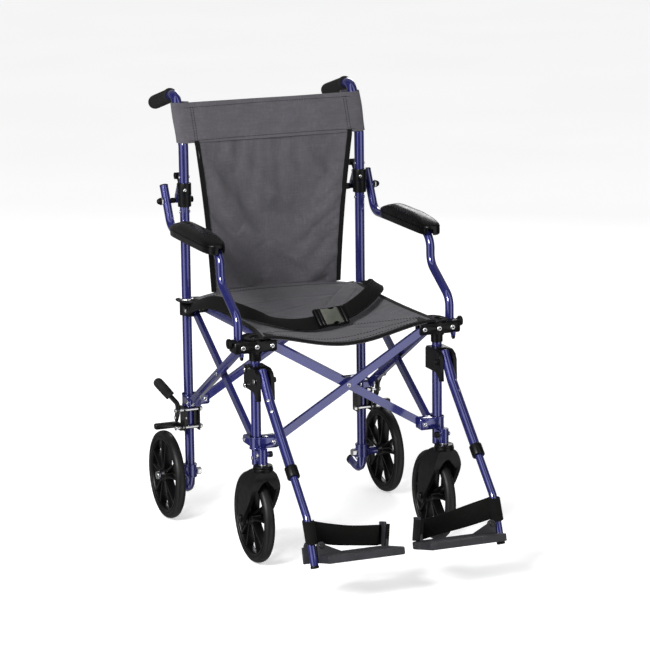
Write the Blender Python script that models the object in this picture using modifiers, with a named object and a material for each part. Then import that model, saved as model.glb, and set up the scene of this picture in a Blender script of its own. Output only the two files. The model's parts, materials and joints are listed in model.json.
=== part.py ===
"""Folding transport wheelchair, built as separate named pieces on the bodies that move.

Frame: metres, +Z up, the chair faces -Y, X runs across it. The origin is on the floor, at the
middle of the chair's footprint. "right" is the sitter's right (-X), "left" the sitter's left (+X).
Depths below are measured from the rear posts, which stand REAR_POST_Y behind the origin.
"""

import math

import bmesh
import bpy
from mathutils import Matrix, Vector

# Frame plan: four corners of a square, joined by four scissor pairs of equal bars.
REAR_POST_Y = 0.305
HALF_WIDTH = 0.215
DEPTH = 0.430
PIVOT_OFFSET = 0.035
LOW_PIVOT_Z = 0.274
HIGH_PIVOT_Z = 0.489
MID_PIVOT_Z = (LOW_PIVOT_Z + HIGH_PIVOT_Z) / 2
SPAN = 2 * (HALF_WIDTH - PIVOT_OFFSET)

# Sections and fits.
POST_RADIUS = 0.011
ARM_RADIUS = 0.0095
EXTENSION_RADIUS = 0.0085
BAR_WIDTH = 0.018
BAR_THICKNESS = 0.010
BAR_LAYER = 0.0060
FITTING_HALF = 0.0150
FITTING_TIP = 0.0115
FITTING_HEIGHT = 0.026
LOW_SIDE_HEIGHT = 0.019
PIN_RADIUS = 0.0030
HOLE_RADIUS = 0.0036
HEAD_RADIUS = 0.0052
HEAD_HEIGHT = 0.0022
FIT_GAP = 0.0007
REST_GAP = 0.0004

# Rear posts and back.
POST_TOP = 0.746
TIP_BOTTOM_Z = 0.052
TIP_END = (0.062, 0.067)
SLEEVE_RADIUS = 0.0155
SLEEVE_LOW = 0.7230
SLEEVE_SPLIT = 0.7490
SLEEVE_TOP = 0.7765
BACK_HINGE = (0.0215, 0.7345)
ARM_PIN_END = 0.268
CANE_PATH = ((0.0, 0.757), (0.0, 0.862), (0.045, 0.975), (0.190, 0.935))
GRIP_RADIUS = 0.0160
GRIP_LENGTH = 0.122
LATCH_PIVOT = (0.0235, 0.768)
LATCH_KNOB = (0.0400, 0.787)

# Armrests.
ARM_X = 0.250
ARM_PATH = (
    (0.0388, 0.7661),
    (-0.006, 0.676),
    (-0.320, 0.679),
    (-0.320, 0.612),
    (-0.421, 0.550),
)
ARM_BEND = 0.026
PAD_FRONT = -0.340
PAD_REAR = -0.058
PAD_LOW = 0.672
PAD_FLANGE = 0.690
PAD_CROWN = 0.7115
PAD_HALF_WIDTH = 0.0248
PAD_OFFSET = 0.0016

# Front hubs and legs.
HUB_OUTER = 0.035
HUB_SKIRT_LOW = 0.457
LEG_TOP = 0.468
LEG_BOTTOM = 0.225
LEG_BORE = 0.0096
INNER_TUBE_RADIUS = 0.0088
INNER_TUBE_LOW = 0.243
STEM_OFFSET = 0.0365
STEM_SOCKET_RADIUS = 0.0105
STEM_SOCKET_LOW = 0.2345
STEM_SOCKET_TOP = 0.267
KNOB_TRAVEL = 0.004

# Wheels and casters.
WHEEL_RADIUS = 0.1016
TYRE_INNER = 0.0872
TYRE_HALF_WIDTH = 0.011
RIM_OUTER = 0.0868
RIM_INNER = 0.0800
RIM_HALF_WIDTH = 0.0085
WHEEL_HUB_RADIUS = 0.0135
WHEEL_HUB_HALF = 0.0175
SPOKE_PAIRS = 5
SPOKE_SPREAD = math.radians(12.5)
AXLE_RADIUS = 0.0058
AXLE_BORE = 0.0066
REAR_WHEEL_X = 0.2713
CASTER_TRAIL = 0.056
FORK_HALF_WIDTH = 0.0340
FORK_SLOT_HALF = 0.0240
FORK_TOP = 0.2320
STEM_RADIUS = 0.0055
STEM_BORE = 0.0064

# Brakes.
BRAKE_BOLT_Y = -0.0175
BRAKE_BOLT_HIGH = 0.2535
BRAKE_BOLT_LOW = 0.2125
SHOE_Y = 0.015
SHOE_Z = 0.2125

# Footrests.
HANGER_PIVOT = (-0.4785, 0.422)
FOOTREST_TOP = (-0.4705, 0.4415)
FOOTREST_BEND = (-0.5120, 0.3830)
FOOTREST_END = (-0.6460, 0.2502)
EXTENSION_BEND = (-0.7185, 0.1787)
EXTENSION_END = (-0.7580, 0.0845)
FOOTREST_RADIUS = 0.0108
FOOTREST_BORE = 0.0093
PLATE_PIN = (-0.7415, 0.1235)
PLATE_PITCH = math.radians(14)
PLATE_INNER_GAP = 0.030

# Soft parts.
SEAT_HALF_WIDTH = 0.199
SEAT_FRONT = -0.447
SEAT_REAR = -0.006
SEAT_EDGE_Z = 0.5120
SEAT_SAG = 0.038
SEAT_THICKNESS = 0.003
BACK_TOP = 0.954
BAND_BOTTOM = 0.868
BAND_HALF_WIDTH = 0.229
PANEL_TOP_HALF = 0.188
PANEL_BOTTOM_HALF = 0.153
PANEL_BOTTOM_Z = 0.520
BELT_WIDTH = 0.040
BELT_THICKNESS = 0.003
BELT_LIFT = 0.0085
BELT_LEVEL_X = 0.090
BUCKLE_CENTRE = (0.035, -0.272)

SIDES = {"right": -1, "left": 1}
ENDS = {"rear": 0.0, "front": -DEPTH}

PARTS = None
GUIDES = None
BODIES = {}
MATERIALS = {}


# ---------------------------------------------------------------- scene and materials


def clear_scene():
    for obj in list(bpy.data.objects):
        bpy.data.objects.remove(obj, do_unlink=True)


def new_collection(name):
    made = bpy.data.collections.new(name)
    bpy.context.scene.collection.children.link(made)
    return made


def new_material(name, colour, roughness, metallic=0.0):
    made = bpy.data.materials.new(name)
    made.use_nodes = True
    shader = made.node_tree.nodes["Principled BSDF"]
    shader.inputs["Base Color"].default_value = (*colour, 1.0)
    shader.inputs["Roughness"].default_value = roughness
    shader.inputs["Metallic"].default_value = metallic
    MATERIALS[name] = made


def make_materials():
    new_material("blue_paint", (0.030, 0.030, 0.190), 0.28, 0.6)
    new_material("black_plastic", (0.018, 0.018, 0.019), 0.45)
    new_material("black_steel", (0.020, 0.020, 0.020), 0.35, 0.4)
    new_material("foam_grip", (0.020, 0.020, 0.021), 0.80)
    new_material("tyre_rubber", (0.022, 0.022, 0.023), 0.65)
    new_material("grey_plastic", (0.070, 0.070, 0.078), 0.50)
    new_material("grey_fabric", (0.110, 0.105, 0.120), 0.90)
    new_material("black_webbing", (0.012, 0.012, 0.012), 0.90)


def body(name, pivot, parent=None):
    """An empty on the joint axis of a moving body, carried by the body it hangs on."""
    empty = bpy.data.objects.new(name + "_body", None)
    empty.empty_display_size = 0.02
    PARTS.objects.link(empty)
    pivot = Vector(pivot)
    if parent:
        carrier, origin = BODIES[parent]
        empty.parent = carrier
        empty.location = pivot - origin
    else:
        empty.location = pivot + Vector((0, REAR_POST_Y, 0))
    BODIES[name] = (empty, pivot)


# ---------------------------------------------------------------- solids


def guide(name, data):
    made = bpy.data.objects.new(name, data)
    made.hide_render = True
    made.display_type = "WIRE"
    GUIDES.objects.link(made)
    return made


def from_bmesh(shape):
    mesh = bpy.data.meshes.new("guide")
    shape.to_mesh(mesh)
    shape.free()
    return guide("guide", mesh)


def box(one, other, bevel=0.0, segments=2):
    """A box between two opposite corners, with its edges rounded by bevel."""
    low = Vector(map(min, one, other))
    high = Vector(map(max, one, other))
    shape = bmesh.new()
    bmesh.ops.create_cube(shape, size=1.0)
    bmesh.ops.scale(shape, vec=high - low, verts=shape.verts)
    bmesh.ops.translate(shape, vec=(low + high) / 2, verts=shape.verts)
    if bevel:
        bmesh.ops.bevel(
            shape, geom=shape.edges[:], offset=bevel, segments=segments,
            profile=0.5, affect="EDGES",
        )
    return from_bmesh(shape)


def cylinder(start, end, radius, segments=12, end_radius=None):
    """A closed cylinder or cone from start to end."""
    start, end = Vector(start), Vector(end)
    along = end - start
    shape = bmesh.new()
    turn = along.to_track_quat("Z", "Y").to_matrix().to_4x4()
    bmesh.ops.create_cone(
        shape, cap_ends=True, segments=segments, radius1=radius,
        radius2=radius if end_radius is None else end_radius, depth=along.length,
        matrix=Matrix.Translation((start + end) / 2) @ turn,
    )
    return from_bmesh(shape)


def rounded_path(points, bend, step=math.radians(24)):
    """The points of a tube's centre line, with each corner replaced by an arc."""
    points = [Vector(point) for point in points]
    path = [points[0]]
    for before, corner, after in zip(points, points[1:], points[2:]):
        into = (corner - before).normalized()
        out = (after - corner).normalized()
        turn = into.angle(out)
        if turn < math.radians(2):
            path.append(corner)
            continue
        reach = bend * math.tan(turn / 2)
        start = corner - into * reach
        side = (out - into * into.dot(out)).normalized()
        centre = start + side * bend
        count = max(2, round(turn / step))
        for i in range(count + 1):
            angle = turn * i / count
            path.append(centre - side * bend * math.cos(angle) + into * bend * math.sin(angle))
    path.append(points[-1])
    return path


def tube(points, radius, bend=0.03, segments=12):
    """A round bar along a path with rounded corners, as a welded mesh."""
    curve = bpy.data.curves.new("guide", "CURVE")
    curve.dimensions = "3D"
    curve.bevel_depth = radius
    curve.bevel_resolution = (segments - 4) // 2
    curve.use_fill_caps = True
    path = rounded_path(points, bend)
    spline = curve.splines.new("POLY")
    spline.points.add(len(path) - 1)
    for spot, point in zip(spline.points, path):
        spot.co = (*point, 1.0)
    return welded(guide("guide", curve))


def plate(outline, thickness, centre, plane, holes=()):
    """A flat outline with round holes, as thick as thickness about centre along its normal.

    plane "yz" reads the outline as (y, z) and "xz" as (x, z), both in world coordinates.
    """
    curve = bpy.data.curves.new("guide", "CURVE")
    curve.dimensions = "2D"
    curve.fill_mode = "BOTH"
    curve.extrude = thickness / 2
    loops = [outline] + [circle(x, y, radius, 8) for x, y, radius in holes]
    for loop in loops:
        spline = curve.splines.new("POLY")
        spline.points.add(len(loop) - 1)
        spline.use_cyclic_u = True
        for spot, (x, y) in zip(spline.points, loop):
            spot.co = (x, y, 0.0, 1.0)
    made = guide("guide", curve)
    if plane == "yz":
        axes = ((0, 0, 1, centre), (1, 0, 0, 0), (0, 1, 0, 0), (0, 0, 0, 1))
    else:
        axes = ((1, 0, 0, 0), (0, 0, -1, centre), (0, 1, 0, 0), (0, 0, 0, 1))
    made.matrix_world = Matrix(axes)
    return welded(made)


def circle(x, y, radius, count):
    turn = 2 * math.pi / count
    return [
        (x + radius * math.cos(turn * i), y + radius * math.sin(turn * i))
        for i in range(count)
    ]


def stadium(one, other, radius, count=4):
    """The outline of a strap with round ends centred on two points."""
    one, other = Vector(one), Vector(other)
    heading = math.atan2(other.y - one.y, other.x - one.x)
    outline = []
    for centre, start in ((other, heading - math.pi / 2), (one, heading + math.pi / 2)):
        for i in range(count + 1):
            angle = start + math.pi * i / count
            outline.append(
                (centre.x + radius * math.cos(angle), centre.y + radius * math.sin(angle))
            )
    return outline


def turned(profile, centre, axis, steps=36):
    """A closed ring profile of (radius, height) points, turned about axis through centre."""
    mesh = bpy.data.meshes.new("guide")
    count = len(profile)
    mesh.from_pydata(
        [(radius, 0.0, height) for radius, height in profile],
        [(i, (i + 1) % count) for i in range(count)],
        [],
    )
    made = guide("guide", mesh)
    screw = made.modifiers.new("turn", "SCREW")
    screw.steps = steps
    screw.render_steps = steps
    screw.use_merge_vertices = True
    screw.merge_threshold = 0.00001
    turn = Vector(axis).to_track_quat("Z", "Y").to_matrix().to_4x4()
    made.matrix_world = Matrix.Translation(centre) @ turn
    return welded(made)


def welded(source):
    """The evaluated mesh of a guide in world space, with its loose caps joined."""
    bpy.context.view_layer.update()
    graph = bpy.context.evaluated_depsgraph_get()
    mesh = bpy.data.meshes.new_from_object(source.evaluated_get(graph))
    mesh.transform(source.matrix_world)
    bpy.data.objects.remove(source, do_unlink=True)
    shape = bmesh.new()
    shape.from_mesh(mesh)
    bmesh.ops.remove_doubles(shape, verts=shape.verts, dist=0.00001)
    bmesh.ops.recalc_face_normals(shape, faces=shape.faces)
    shape.to_mesh(mesh)
    shape.free()
    return guide("guide", mesh)


def combined(solids, cuts=(), within=()):
    """One mesh from a list of overlapping solids, kept within some shapes, less a list of cutters."""
    base = solids[0]
    steps = [("UNION", solid) for solid in solids[1:]]
    steps += [("INTERSECT", limit) for limit in within]
    steps += [("DIFFERENCE", cut) for cut in cuts]
    for operation, other in steps:
        modifier = base.modifiers.new(operation.lower(), "BOOLEAN")
        modifier.operation = operation
        modifier.object = other
        modifier.solver = "EXACT"
    bpy.context.view_layer.update()
    graph = bpy.context.evaluated_depsgraph_get()
    mesh = bpy.data.meshes.new_from_object(base.evaluated_get(graph))
    for used in [base] + [other for _, other in steps]:
        bpy.data.objects.remove(used, do_unlink=True)
    shape = bmesh.new()
    shape.from_mesh(mesh)
    bmesh.ops.remove_doubles(shape, verts=shape.verts, dist=0.00002)
    bmesh.ops.dissolve_degenerate(shape, edges=shape.edges, dist=0.00002)
    loose = [edge for edge in shape.edges if not edge.link_faces]
    bmesh.ops.delete(shape, geom=loose, context="EDGES")
    shape.to_mesh(mesh)
    shape.free()
    return mesh


def finished(name, carrier, material, mesh):
    """A named piece on its body, with its origin at the body's pivot."""
    empty, pivot = BODIES[carrier]
    mesh.name = name
    mesh.transform(Matrix.Translation(-pivot))
    mesh.materials.clear()
    mesh.materials.append(MATERIALS[material])
    made = bpy.data.objects.new(name, mesh)
    made.parent = empty
    PARTS.objects.link(made)
    mesh.shade_smooth()
    mesh.set_sharp_from_angle(angle=math.radians(35))
    return made


def piece(name, carrier, material, solids, cuts=()):
    return finished(name, carrier, material, combined(solids, cuts))


def bolt(start, end, head_start=True, head_end=True, radius=PIN_RADIUS):
    """A pin with a round head standing proud of each end that is asked for."""
    start, end = Vector(start), Vector(end)
    along = (end - start).normalized()
    lap = along * 0.0004
    made = [cylinder(start - lap, end + lap, radius, 8)]
    if head_start:
        made.append(cylinder(start - along * HEAD_HEIGHT, start + lap, HEAD_RADIUS, 8))
    if head_end:
        made.append(cylinder(end - lap, end + along * HEAD_HEIGHT, HEAD_RADIUS, 8))
    return made


# ---------------------------------------------------------------- scissor frame


def corner_xy(side, end):
    return SIDES[side] * HALF_WIDTH, ENDS[end]


def arm_solids(side, end, height, across, layer, tall=FITTING_HEIGHT):
    """One clevis of a corner fitting, its pivot pin, and the slot that its bar turns in.

    across: True for the arm that points across the chair, False for the fore-and-aft arm.
    layer: which side of the corner's axis plane the bar lies on, -1 or 1.
    """
    x, y = corner_xy(side, end)
    inward = Vector((-SIDES[side], 0, 0)) if across else Vector((0, -1 if end == "rear" else 1, 0))
    normal = Vector((0, 1, 0)) if across else Vector((1, 0, 0))
    centre = Vector((x, y, height))
    half = Vector((0, 0, tall / 2))
    tip = centre + inward * (PIVOT_OFFSET + FITTING_TIP)
    block = box(centre + normal * FITTING_HALF - half, tip - normal * FITTING_HALF + half, 0.003, 1)
    pivot = centre + inward * PIVOT_OFFSET
    slot_half = BAR_THICKNESS / 2 + REST_GAP
    slot_start = pivot - inward * (BAR_WIDTH / 2 + 0.002)
    middle = normal * layer * BAR_LAYER
    slot = box(
        slot_start + middle + normal * slot_half - 2 * half,
        tip + inward * 0.01 + middle - normal * slot_half + 2 * half,
    )
    pin = bolt(pivot - normal * FITTING_HALF, pivot + normal * FITTING_HALF)
    return block, slot, pin


def fitting(side, end, height, cross_layer, length_layer):
    """The two clevises of a corner as (solids, slots, pins)."""
    solids, slots, pins = [], [], []
    low = height < MID_PIVOT_Z
    for across, layer in ((True, cross_layer), (False, length_layer)):
        tall = LOW_SIDE_HEIGHT if low and not across else FITTING_HEIGHT
        block, slot, pin = arm_solids(side, end, height, across, layer, tall)
        solids.append(block)
        slots.append(slot)
        pins += pin
    return solids, slots, pins


def bar(name, carrier, low, high, plane, centre, pinned):
    """A scissor bar between two pivots. The pinned one of a pair carries the centre rivet."""
    low, high = Vector(low), Vector(high)
    middle = (low + high) / 2
    spots = [low, high] if pinned else [low, middle, high]
    flat = plate(
        stadium(low, high, BAR_WIDTH / 2), BAR_THICKNESS, centre, plane,
        [(spot.x, spot.y, HOLE_RADIUS) for spot in spots],
    )
    if not pinned:
        piece(name, carrier, "blue_paint", [flat])
        return
    axis_place = -DEPTH if plane == "xz" and centre < -DEPTH / 2 else 0.0
    if plane == "yz":
        axis_place = math.copysign(HALF_WIDTH, centre)
    outward = math.copysign(1, centre - axis_place)
    near = centre + outward * BAR_THICKNESS / 2
    far = axis_place - outward * (BAR_LAYER + BAR_THICKNESS / 2 + REST_GAP)

    def spot(place):
        return (middle.x, place, middle.y) if plane == "xz" else (place, middle.x, middle.y)

    piece(name, carrier, "blue_paint", [flat] + bolt(spot(near), spot(far)))


def cross_bars(end, first_body, second_body):
    """The front or rear scissor: bar 1 rises to the left in front, bar 2 rises to the right."""
    place = ENDS[end]
    half = SPAN / 2
    bar(
        end + "_bar_1", first_body, (-half, LOW_PIVOT_Z), (half, HIGH_PIVOT_Z),
        "xz", place - BAR_LAYER, True,
    )
    bar(
        end + "_bar_2", second_body, (half, LOW_PIVOT_Z), (-half, HIGH_PIVOT_Z),
        "xz", place + BAR_LAYER, False,
    )


def side_bars(side):
    """A side scissor: bar 1 rises forward on the outside, bar 2 rises to the rear inside it."""
    near, far = -PIVOT_OFFSET, -(DEPTH - PIVOT_OFFSET)
    place = SIDES[side] * HALF_WIDTH
    layer = SIDES[side] * BAR_LAYER
    bar(
        side + "_bar_1", side + "_bar_1", (near, LOW_PIVOT_Z), (far, HIGH_PIVOT_Z),
        "yz", place + layer, True,
    )
    bar(
        side + "_bar_2", side + "_bar_2", (far, LOW_PIVOT_Z), (near, HIGH_PIVOT_Z),
        "yz", place - layer, False,
    )


def low_layers(side):
    """The layers of the bars whose low ends meet this side: (across, rear end, front end)."""
    across = -1 if side == "right" else 1
    return across, SIDES[side], -SIDES[side]


def rear_post(side):
    """Post with its tipping foot, lower bracket, axle and axle nuts."""
    x, sign = SIDES[side] * HALF_WIDTH, SIDES[side]
    across, rear_layer, _ = low_layers(side)
    post = tube(
        [(x, 0, POST_TOP), (x, 0, TIP_BOTTOM_Z), (x, *TIP_END)],
        POST_RADIUS, 0.026, 12,
    )
    solids, slots, pins = fitting(side, "rear", LOW_PIVOT_Z, across, rear_layer)
    cuts = slots + [cylinder((x, 0, 0.2), (x, 0, 0.33), POST_RADIUS - 0.002)]
    bracket = guide("guide", combined(
        solids + [cylinder((x, 0, LOW_PIVOT_Z - 0.014), (x, 0, LOW_PIVOT_Z + 0.014), 0.0152)], cuts
    ))
    collar = cylinder((x, 0, 0.090), (x, 0, 0.121), 0.0150)
    axle = cylinder(
        (x - sign * 0.0190, 0, WHEEL_RADIUS), (sign * (REAR_WHEEL_X + 0.022), 0, WHEEL_RADIUS),
        AXLE_RADIUS, 12,
    )
    inner_nut = cylinder(
        (x - sign * 0.0255, 0, WHEEL_RADIUS), (x - sign * 0.0140, 0, WHEEL_RADIUS), 0.0085, 6
    )
    boss = cylinder(
        (x, 0, WHEEL_RADIUS), (sign * (REAR_WHEEL_X - WHEEL_HUB_HALF - 0.0015), 0, WHEEL_RADIUS),
        0.0095, 12,
    )
    outer = sign * (REAR_WHEEL_X + WHEEL_HUB_HALF + 0.0006)
    outer_nut = cylinder(
        (outer, 0, WHEEL_RADIUS), (outer + sign * 0.0075, 0, WHEEL_RADIUS), 0.0085, 12
    )
    piece(
        side + "_rear_post", side + "_rear_post", "blue_paint",
        [post, bracket, collar, boss, inner_nut, axle, outer_nut] + pins,
    )


def rear_hub(side):
    """Sleeve that slides up the rear post when the chair folds, with both clevises."""
    x = SIDES[side] * HALF_WIDTH
    across, rear_layer, _ = low_layers(side)
    solids, slots, pins = fitting(side, "rear", HIGH_PIVOT_Z, -across, -rear_layer)
    core = cylinder((x, 0, HIGH_PIVOT_Z - 0.0165), (x, 0, HIGH_PIVOT_Z + 0.0145), 0.0165)
    bore = cylinder((x, 0, 0.44), (x, 0, 0.54), POST_RADIUS + FIT_GAP)
    hub = guide("guide", combined(solids + [core], slots + [bore]))
    piece(side + "_rear_hub", side + "_rear_hub", "black_plastic", [hub] + pins)


def front_leg(side):
    """Leg tube with its lower bracket, stem socket and the bore for the sliding inner tube."""
    x = SIDES[side] * HALF_WIDTH
    across, _, front_layer = low_layers(side)
    solids, slots, pins = fitting(side, "front", LOW_PIVOT_Z, across, front_layer)
    band = cylinder(
        (x, -DEPTH, LOW_PIVOT_Z - 0.014), (x, -DEPTH, LOW_PIVOT_Z + 0.014), 0.0152
    )
    bracket = guide("guide", combined(solids + [band], slots))
    leg = cylinder((x, -DEPTH, LEG_BOTTOM), (x, -DEPTH, LEG_TOP), POST_RADIUS)
    stem_y = -DEPTH - STEM_OFFSET
    socket = cylinder(
        (x, stem_y, STEM_SOCKET_LOW), (x, stem_y, STEM_SOCKET_TOP), STEM_SOCKET_RADIUS
    )
    web = box((x - 0.0075, -DEPTH, 0.2385), (x + 0.0075, stem_y, 0.2595))
    inner = -SIDES[side]
    knob = cylinder((x, stem_y, 0.2545), (x + inner * 0.0210, stem_y, 0.2545), 0.0062, 12)
    rivet = cylinder((x, stem_y, 0.2545), (x - inner * 0.0125, stem_y, 0.2545), 0.0040, 12)
    stem_bore = cylinder((x, stem_y, 0.22), (x, stem_y, 0.2475), STEM_BORE, 12)
    leg_bore = cylinder((x, -DEPTH, 0.2360), (x, -DEPTH, 0.50), LEG_BORE)
    piece(
        side + "_front_leg", side + "_front_leg", "blue_paint",
        [leg, bracket, socket, web, knob, rivet] + pins, [leg_bore, stem_bore],
    )


def front_hub(side):
    """Moulded hub with three front bolts, the armrest seat, a skirt and the inner tube."""
    x, sign = SIDES[side] * HALF_WIDTH, SIDES[side]
    across, _, front_layer = low_layers(side)
    solids, slots, pins = fitting(side, "front", HIGH_PIVOT_Z, -across, -front_layer)
    top, low = HIGH_PIVOT_Z + 0.0145, HIGH_PIVOT_Z - 0.0160
    core = cylinder((x, -DEPTH, low), (x, -DEPTH, top), 0.0162)
    face = -DEPTH - FITTING_HALF
    outer = box(
        (x, face, low + 0.003), (x + sign * (HUB_OUTER + 0.0165), -DEPTH + 0.0225, top - 0.0005),
        0.003, 1,
    )
    skirt = cylinder((x, -DEPTH, HUB_SKIRT_LOW), (x, -DEPTH, low + 0.002), 0.0133)
    skirt_bore = cylinder((x, -DEPTH, 0.44), (x, -DEPTH, LEG_TOP + 0.001), POST_RADIUS + FIT_GAP)
    plunger_x = x + sign * (HUB_OUTER + 0.002)
    plunger_bore = cylinder(
        (plunger_x, -DEPTH + 0.004, HIGH_PIVOT_Z), (plunger_x + sign * 0.03, -DEPTH + 0.004, HIGH_PIVOT_Z),
        0.0036, 12,
    )
    hub = guide("guide", combined(
        solids + [outer, core, skirt], slots + [skirt_bore, plunger_bore]
    ))
    inner_tube = cylinder(
        (x, -DEPTH, INNER_TUBE_LOW), (x, -DEPTH, low + 0.006), INNER_TUBE_RADIUS
    )
    bolts = []
    for offset in (0.0, sign * 0.0320):
        bolts.append(cylinder((x + offset, face - HEAD_HEIGHT, HIGH_PIVOT_Z),
                              (x + offset, face + 0.003, HIGH_PIVOT_Z), HEAD_RADIUS, 10))
    hook_x = x + sign * HUB_OUTER
    hook = tube(
        [(hook_x, -DEPTH - 0.004, low + 0.008), (hook_x, -DEPTH - 0.004, low - 0.0100),
         (hook_x, -DEPTH - 0.0165, low - 0.0100), (hook_x, -DEPTH - 0.0165, low - 0.0030)],
        0.0024, 0.006, 8,
    )
    piece(
        side + "_front_hub", side + "_front_hub", "black_plastic",
        [hub, inner_tube, hook] + bolts + pins,
    )


def release_knob(side):
    """Spring plunger on the outer face of the front hub that frees the armrest."""
    sign = SIDES[side]
    face = SIDES[side] * (HALF_WIDTH + HUB_OUTER + 0.0165)
    y = -DEPTH + 0.004
    near, far = face + sign * 0.0006, face + sign * 0.0095
    head = cylinder((near, y, HIGH_PIVOT_Z), (far, y, HIGH_PIVOT_Z), 0.0098, 16)
    near, far = face - sign * 0.0090, face + sign * 0.0020
    stem = cylinder((near, y, HIGH_PIVOT_Z), (far, y, HIGH_PIVOT_Z), 0.0030, 12)
    piece(side + "_release_knob", side + "_release_knob", "black_plastic", [head, stem])


# ---------------------------------------------------------------- back and armrests


def back_joint(side):
    """Lower half of the mid-back joint, with the hinge pin that also carries the armrest."""
    x, sign = SIDES[side] * HALF_WIDTH, SIDES[side]
    y, z = BACK_HINGE
    sleeve = cylinder((x, 0, SLEEVE_LOW), (x, 0, SLEEVE_SPLIT - REST_GAP), SLEEVE_RADIUS)
    bore = cylinder((x, 0, 0.70), (x, 0, POST_TOP + REST_GAP), POST_RADIUS + FIT_GAP)
    web = box((x - 0.0075, 0.006, z - 0.0065), (x + 0.0075, y, z + 0.0065))
    boss = cylinder((x - 0.0075, y, z), (x + 0.0075, y, z), 0.0065, 12)
    pin = cylinder((x - sign * 0.0200, y, z), (sign * ARM_PIN_END, y, z), 0.0038, 12)
    knob = cylinder((x - sign * 0.0270, y, z), (x - sign * 0.0160, y, z), 0.0068, 12)
    shoulder = cylinder((x + sign * 0.0160, y, z), (sign * (ARM_X - ARM_RADIUS - 0.0010), y, z), 0.0062, 12)
    nut = cylinder((sign * (ARM_X + ARM_RADIUS + 0.0008), y, z), (sign * (ARM_PIN_END + 0.003), y, z),
                   0.0072, 12, 0.0045)
    joint = guide("guide", combined([sleeve, web, boss], [bore]))
    piece(
        side + "_back_joint", side + "_rear_post", "black_plastic",
        [joint, pin, knob, shoulder, nut],
    )


def cane(side):
    """Back cane with its upper sleeve, hinge lugs and latch ears."""
    x = SIDES[side] * HALF_WIDTH
    y, z = BACK_HINGE
    cane_tube = tube([(x, *point) for point in CANE_PATH], POST_RADIUS, 0.030, 12)
    sleeve = cylinder((x, 0, SLEEVE_SPLIT), (x, 0, SLEEVE_TOP), SLEEVE_RADIUS)
    solids = [sleeve, cane_tube]
    for offset in (-0.0112, 0.0112):
        outline = [
            (y - 0.0060, z), (y - 0.0040, z - 0.0050), (y + 0.0005, z - 0.0065),
            (y + 0.0050, z - 0.0040), (y + 0.0065, z), (y + 0.0055, z + 0.010),
            (0.0120, 0.7700), (0.0040, 0.7700), (0.0040, SLEEVE_SPLIT + 0.0010),
            (y - 0.0062, SLEEVE_SPLIT + 0.0006),
        ]
        lug = plate(outline, 0.0050, x + offset, "yz", [(y, z, 0.0044)])
        solids.append(lug)
    for offset in (-0.0062, 0.0062):
        ear = plate(
            stadium((0.0090, LATCH_PIVOT[1]), LATCH_PIVOT, 0.0048), 0.0036, x + offset, "yz"
        )
        solids.append(ear)
    py, pz = LATCH_PIVOT
    solids.append(cylinder((x - 0.0070, py, pz), (x + 0.0070, py, pz), 0.0020, 10))
    piece(side + "_cane", side + "_cane", "blue_paint", solids)


def back_latch(side):
    """Thumb lever behind the upper sleeve that releases the folding back."""
    x = SIDES[side] * HALF_WIDTH
    lever = plate(
        stadium(LATCH_PIVOT, LATCH_KNOB, 0.0042), 0.0066, x, "yz", [(*LATCH_PIVOT, 0.0026)]
    )
    knob = cylinder((x - 0.0085, *LATCH_KNOB), (x + 0.0085, *LATCH_KNOB), 0.0078, 14)
    piece(side + "_back_latch", side + "_back_latch", "black_plastic", [lever, knob])


def grip(side):
    """Foam push grip on the end of the cane, with soft finger rings."""
    x = SIDES[side] * HALF_WIDTH
    end = Vector((x, *CANE_PATH[3]))
    corner = Vector((x, *CANE_PATH[2]))
    along = (end - corner).normalized()
    back = end + along * 0.006
    front = back - along * GRIP_LENGTH
    solids = [cylinder(front, back, GRIP_RADIUS, 16)]
    bore = cylinder(front - along * 0.01, end + along * REST_GAP, POST_RADIUS + FIT_GAP)
    piece(side + "_grip", side + "_cane", "foam_grip", solids, [bore])


def arm_rest(side):
    """Armrest tube, hinged at the back joint, and its pad."""
    x = SIDES[side] * ARM_X
    y, z = BACK_HINGE
    foot = (x, ARM_PATH[-1][0], HIGH_PIVOT_Z + 0.0145 + REST_GAP)
    path = [(x, *point) for point in ARM_PATH] + [foot]
    pin_hole = cylinder((x - 0.02, y, z), (x + 0.02, y, z), 0.0045, 12)
    piece(
        side + "_arm_tube", side + "_arm", "blue_paint",
        [tube(path, ARM_RADIUS, ARM_BEND, 10)], [pin_hole],
    )
    channel_top = ARM_PATH[2][1] + ARM_RADIUS + REST_GAP
    x += SIDES[side] * PAD_OFFSET
    side_view = [
        (PAD_REAR, PAD_LOW), (PAD_REAR, PAD_FLANGE), (PAD_REAR - 0.016, PAD_CROWN - 0.008),
        (-0.135, PAD_CROWN), (-0.240, PAD_CROWN), (PAD_FRONT + 0.038, PAD_CROWN - 0.005),
        (PAD_FRONT, PAD_FLANGE), (PAD_FRONT + 0.006, PAD_LOW + 0.004), (PAD_FRONT + 0.012, PAD_LOW),
    ]
    solid = plate(side_view[::-1], 2 * PAD_HALF_WIDTH, x, "yz")
    plan = box(
        (x - PAD_HALF_WIDTH, PAD_FRONT - 0.002, 0.62), (x + PAD_HALF_WIDTH, PAD_REAR + 0.002, 0.76),
        0.012, 2,
    )
    end_view = plate(
        [(x - 0.026, 0.66), (x + 0.026, 0.66), (x + 0.026, PAD_FLANGE + 0.002),
         (x + 0.014, PAD_CROWN + 0.001), (x - 0.014, PAD_CROWN + 0.001), (x - 0.026, PAD_FLANGE + 0.002)],
        0.40, -0.20, "xz",
    )
    tube_x = SIDES[side] * ARM_X
    channel = box((tube_x - 0.0100, -0.40, 0.65), (tube_x + 0.0100, 0.0, channel_top))
    mesh = combined([solid], [channel], [plan, end_view])
    finished(side + "_arm_pad", side + "_arm", "black_plastic", mesh)


# ---------------------------------------------------------------- wheels and casters


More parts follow.
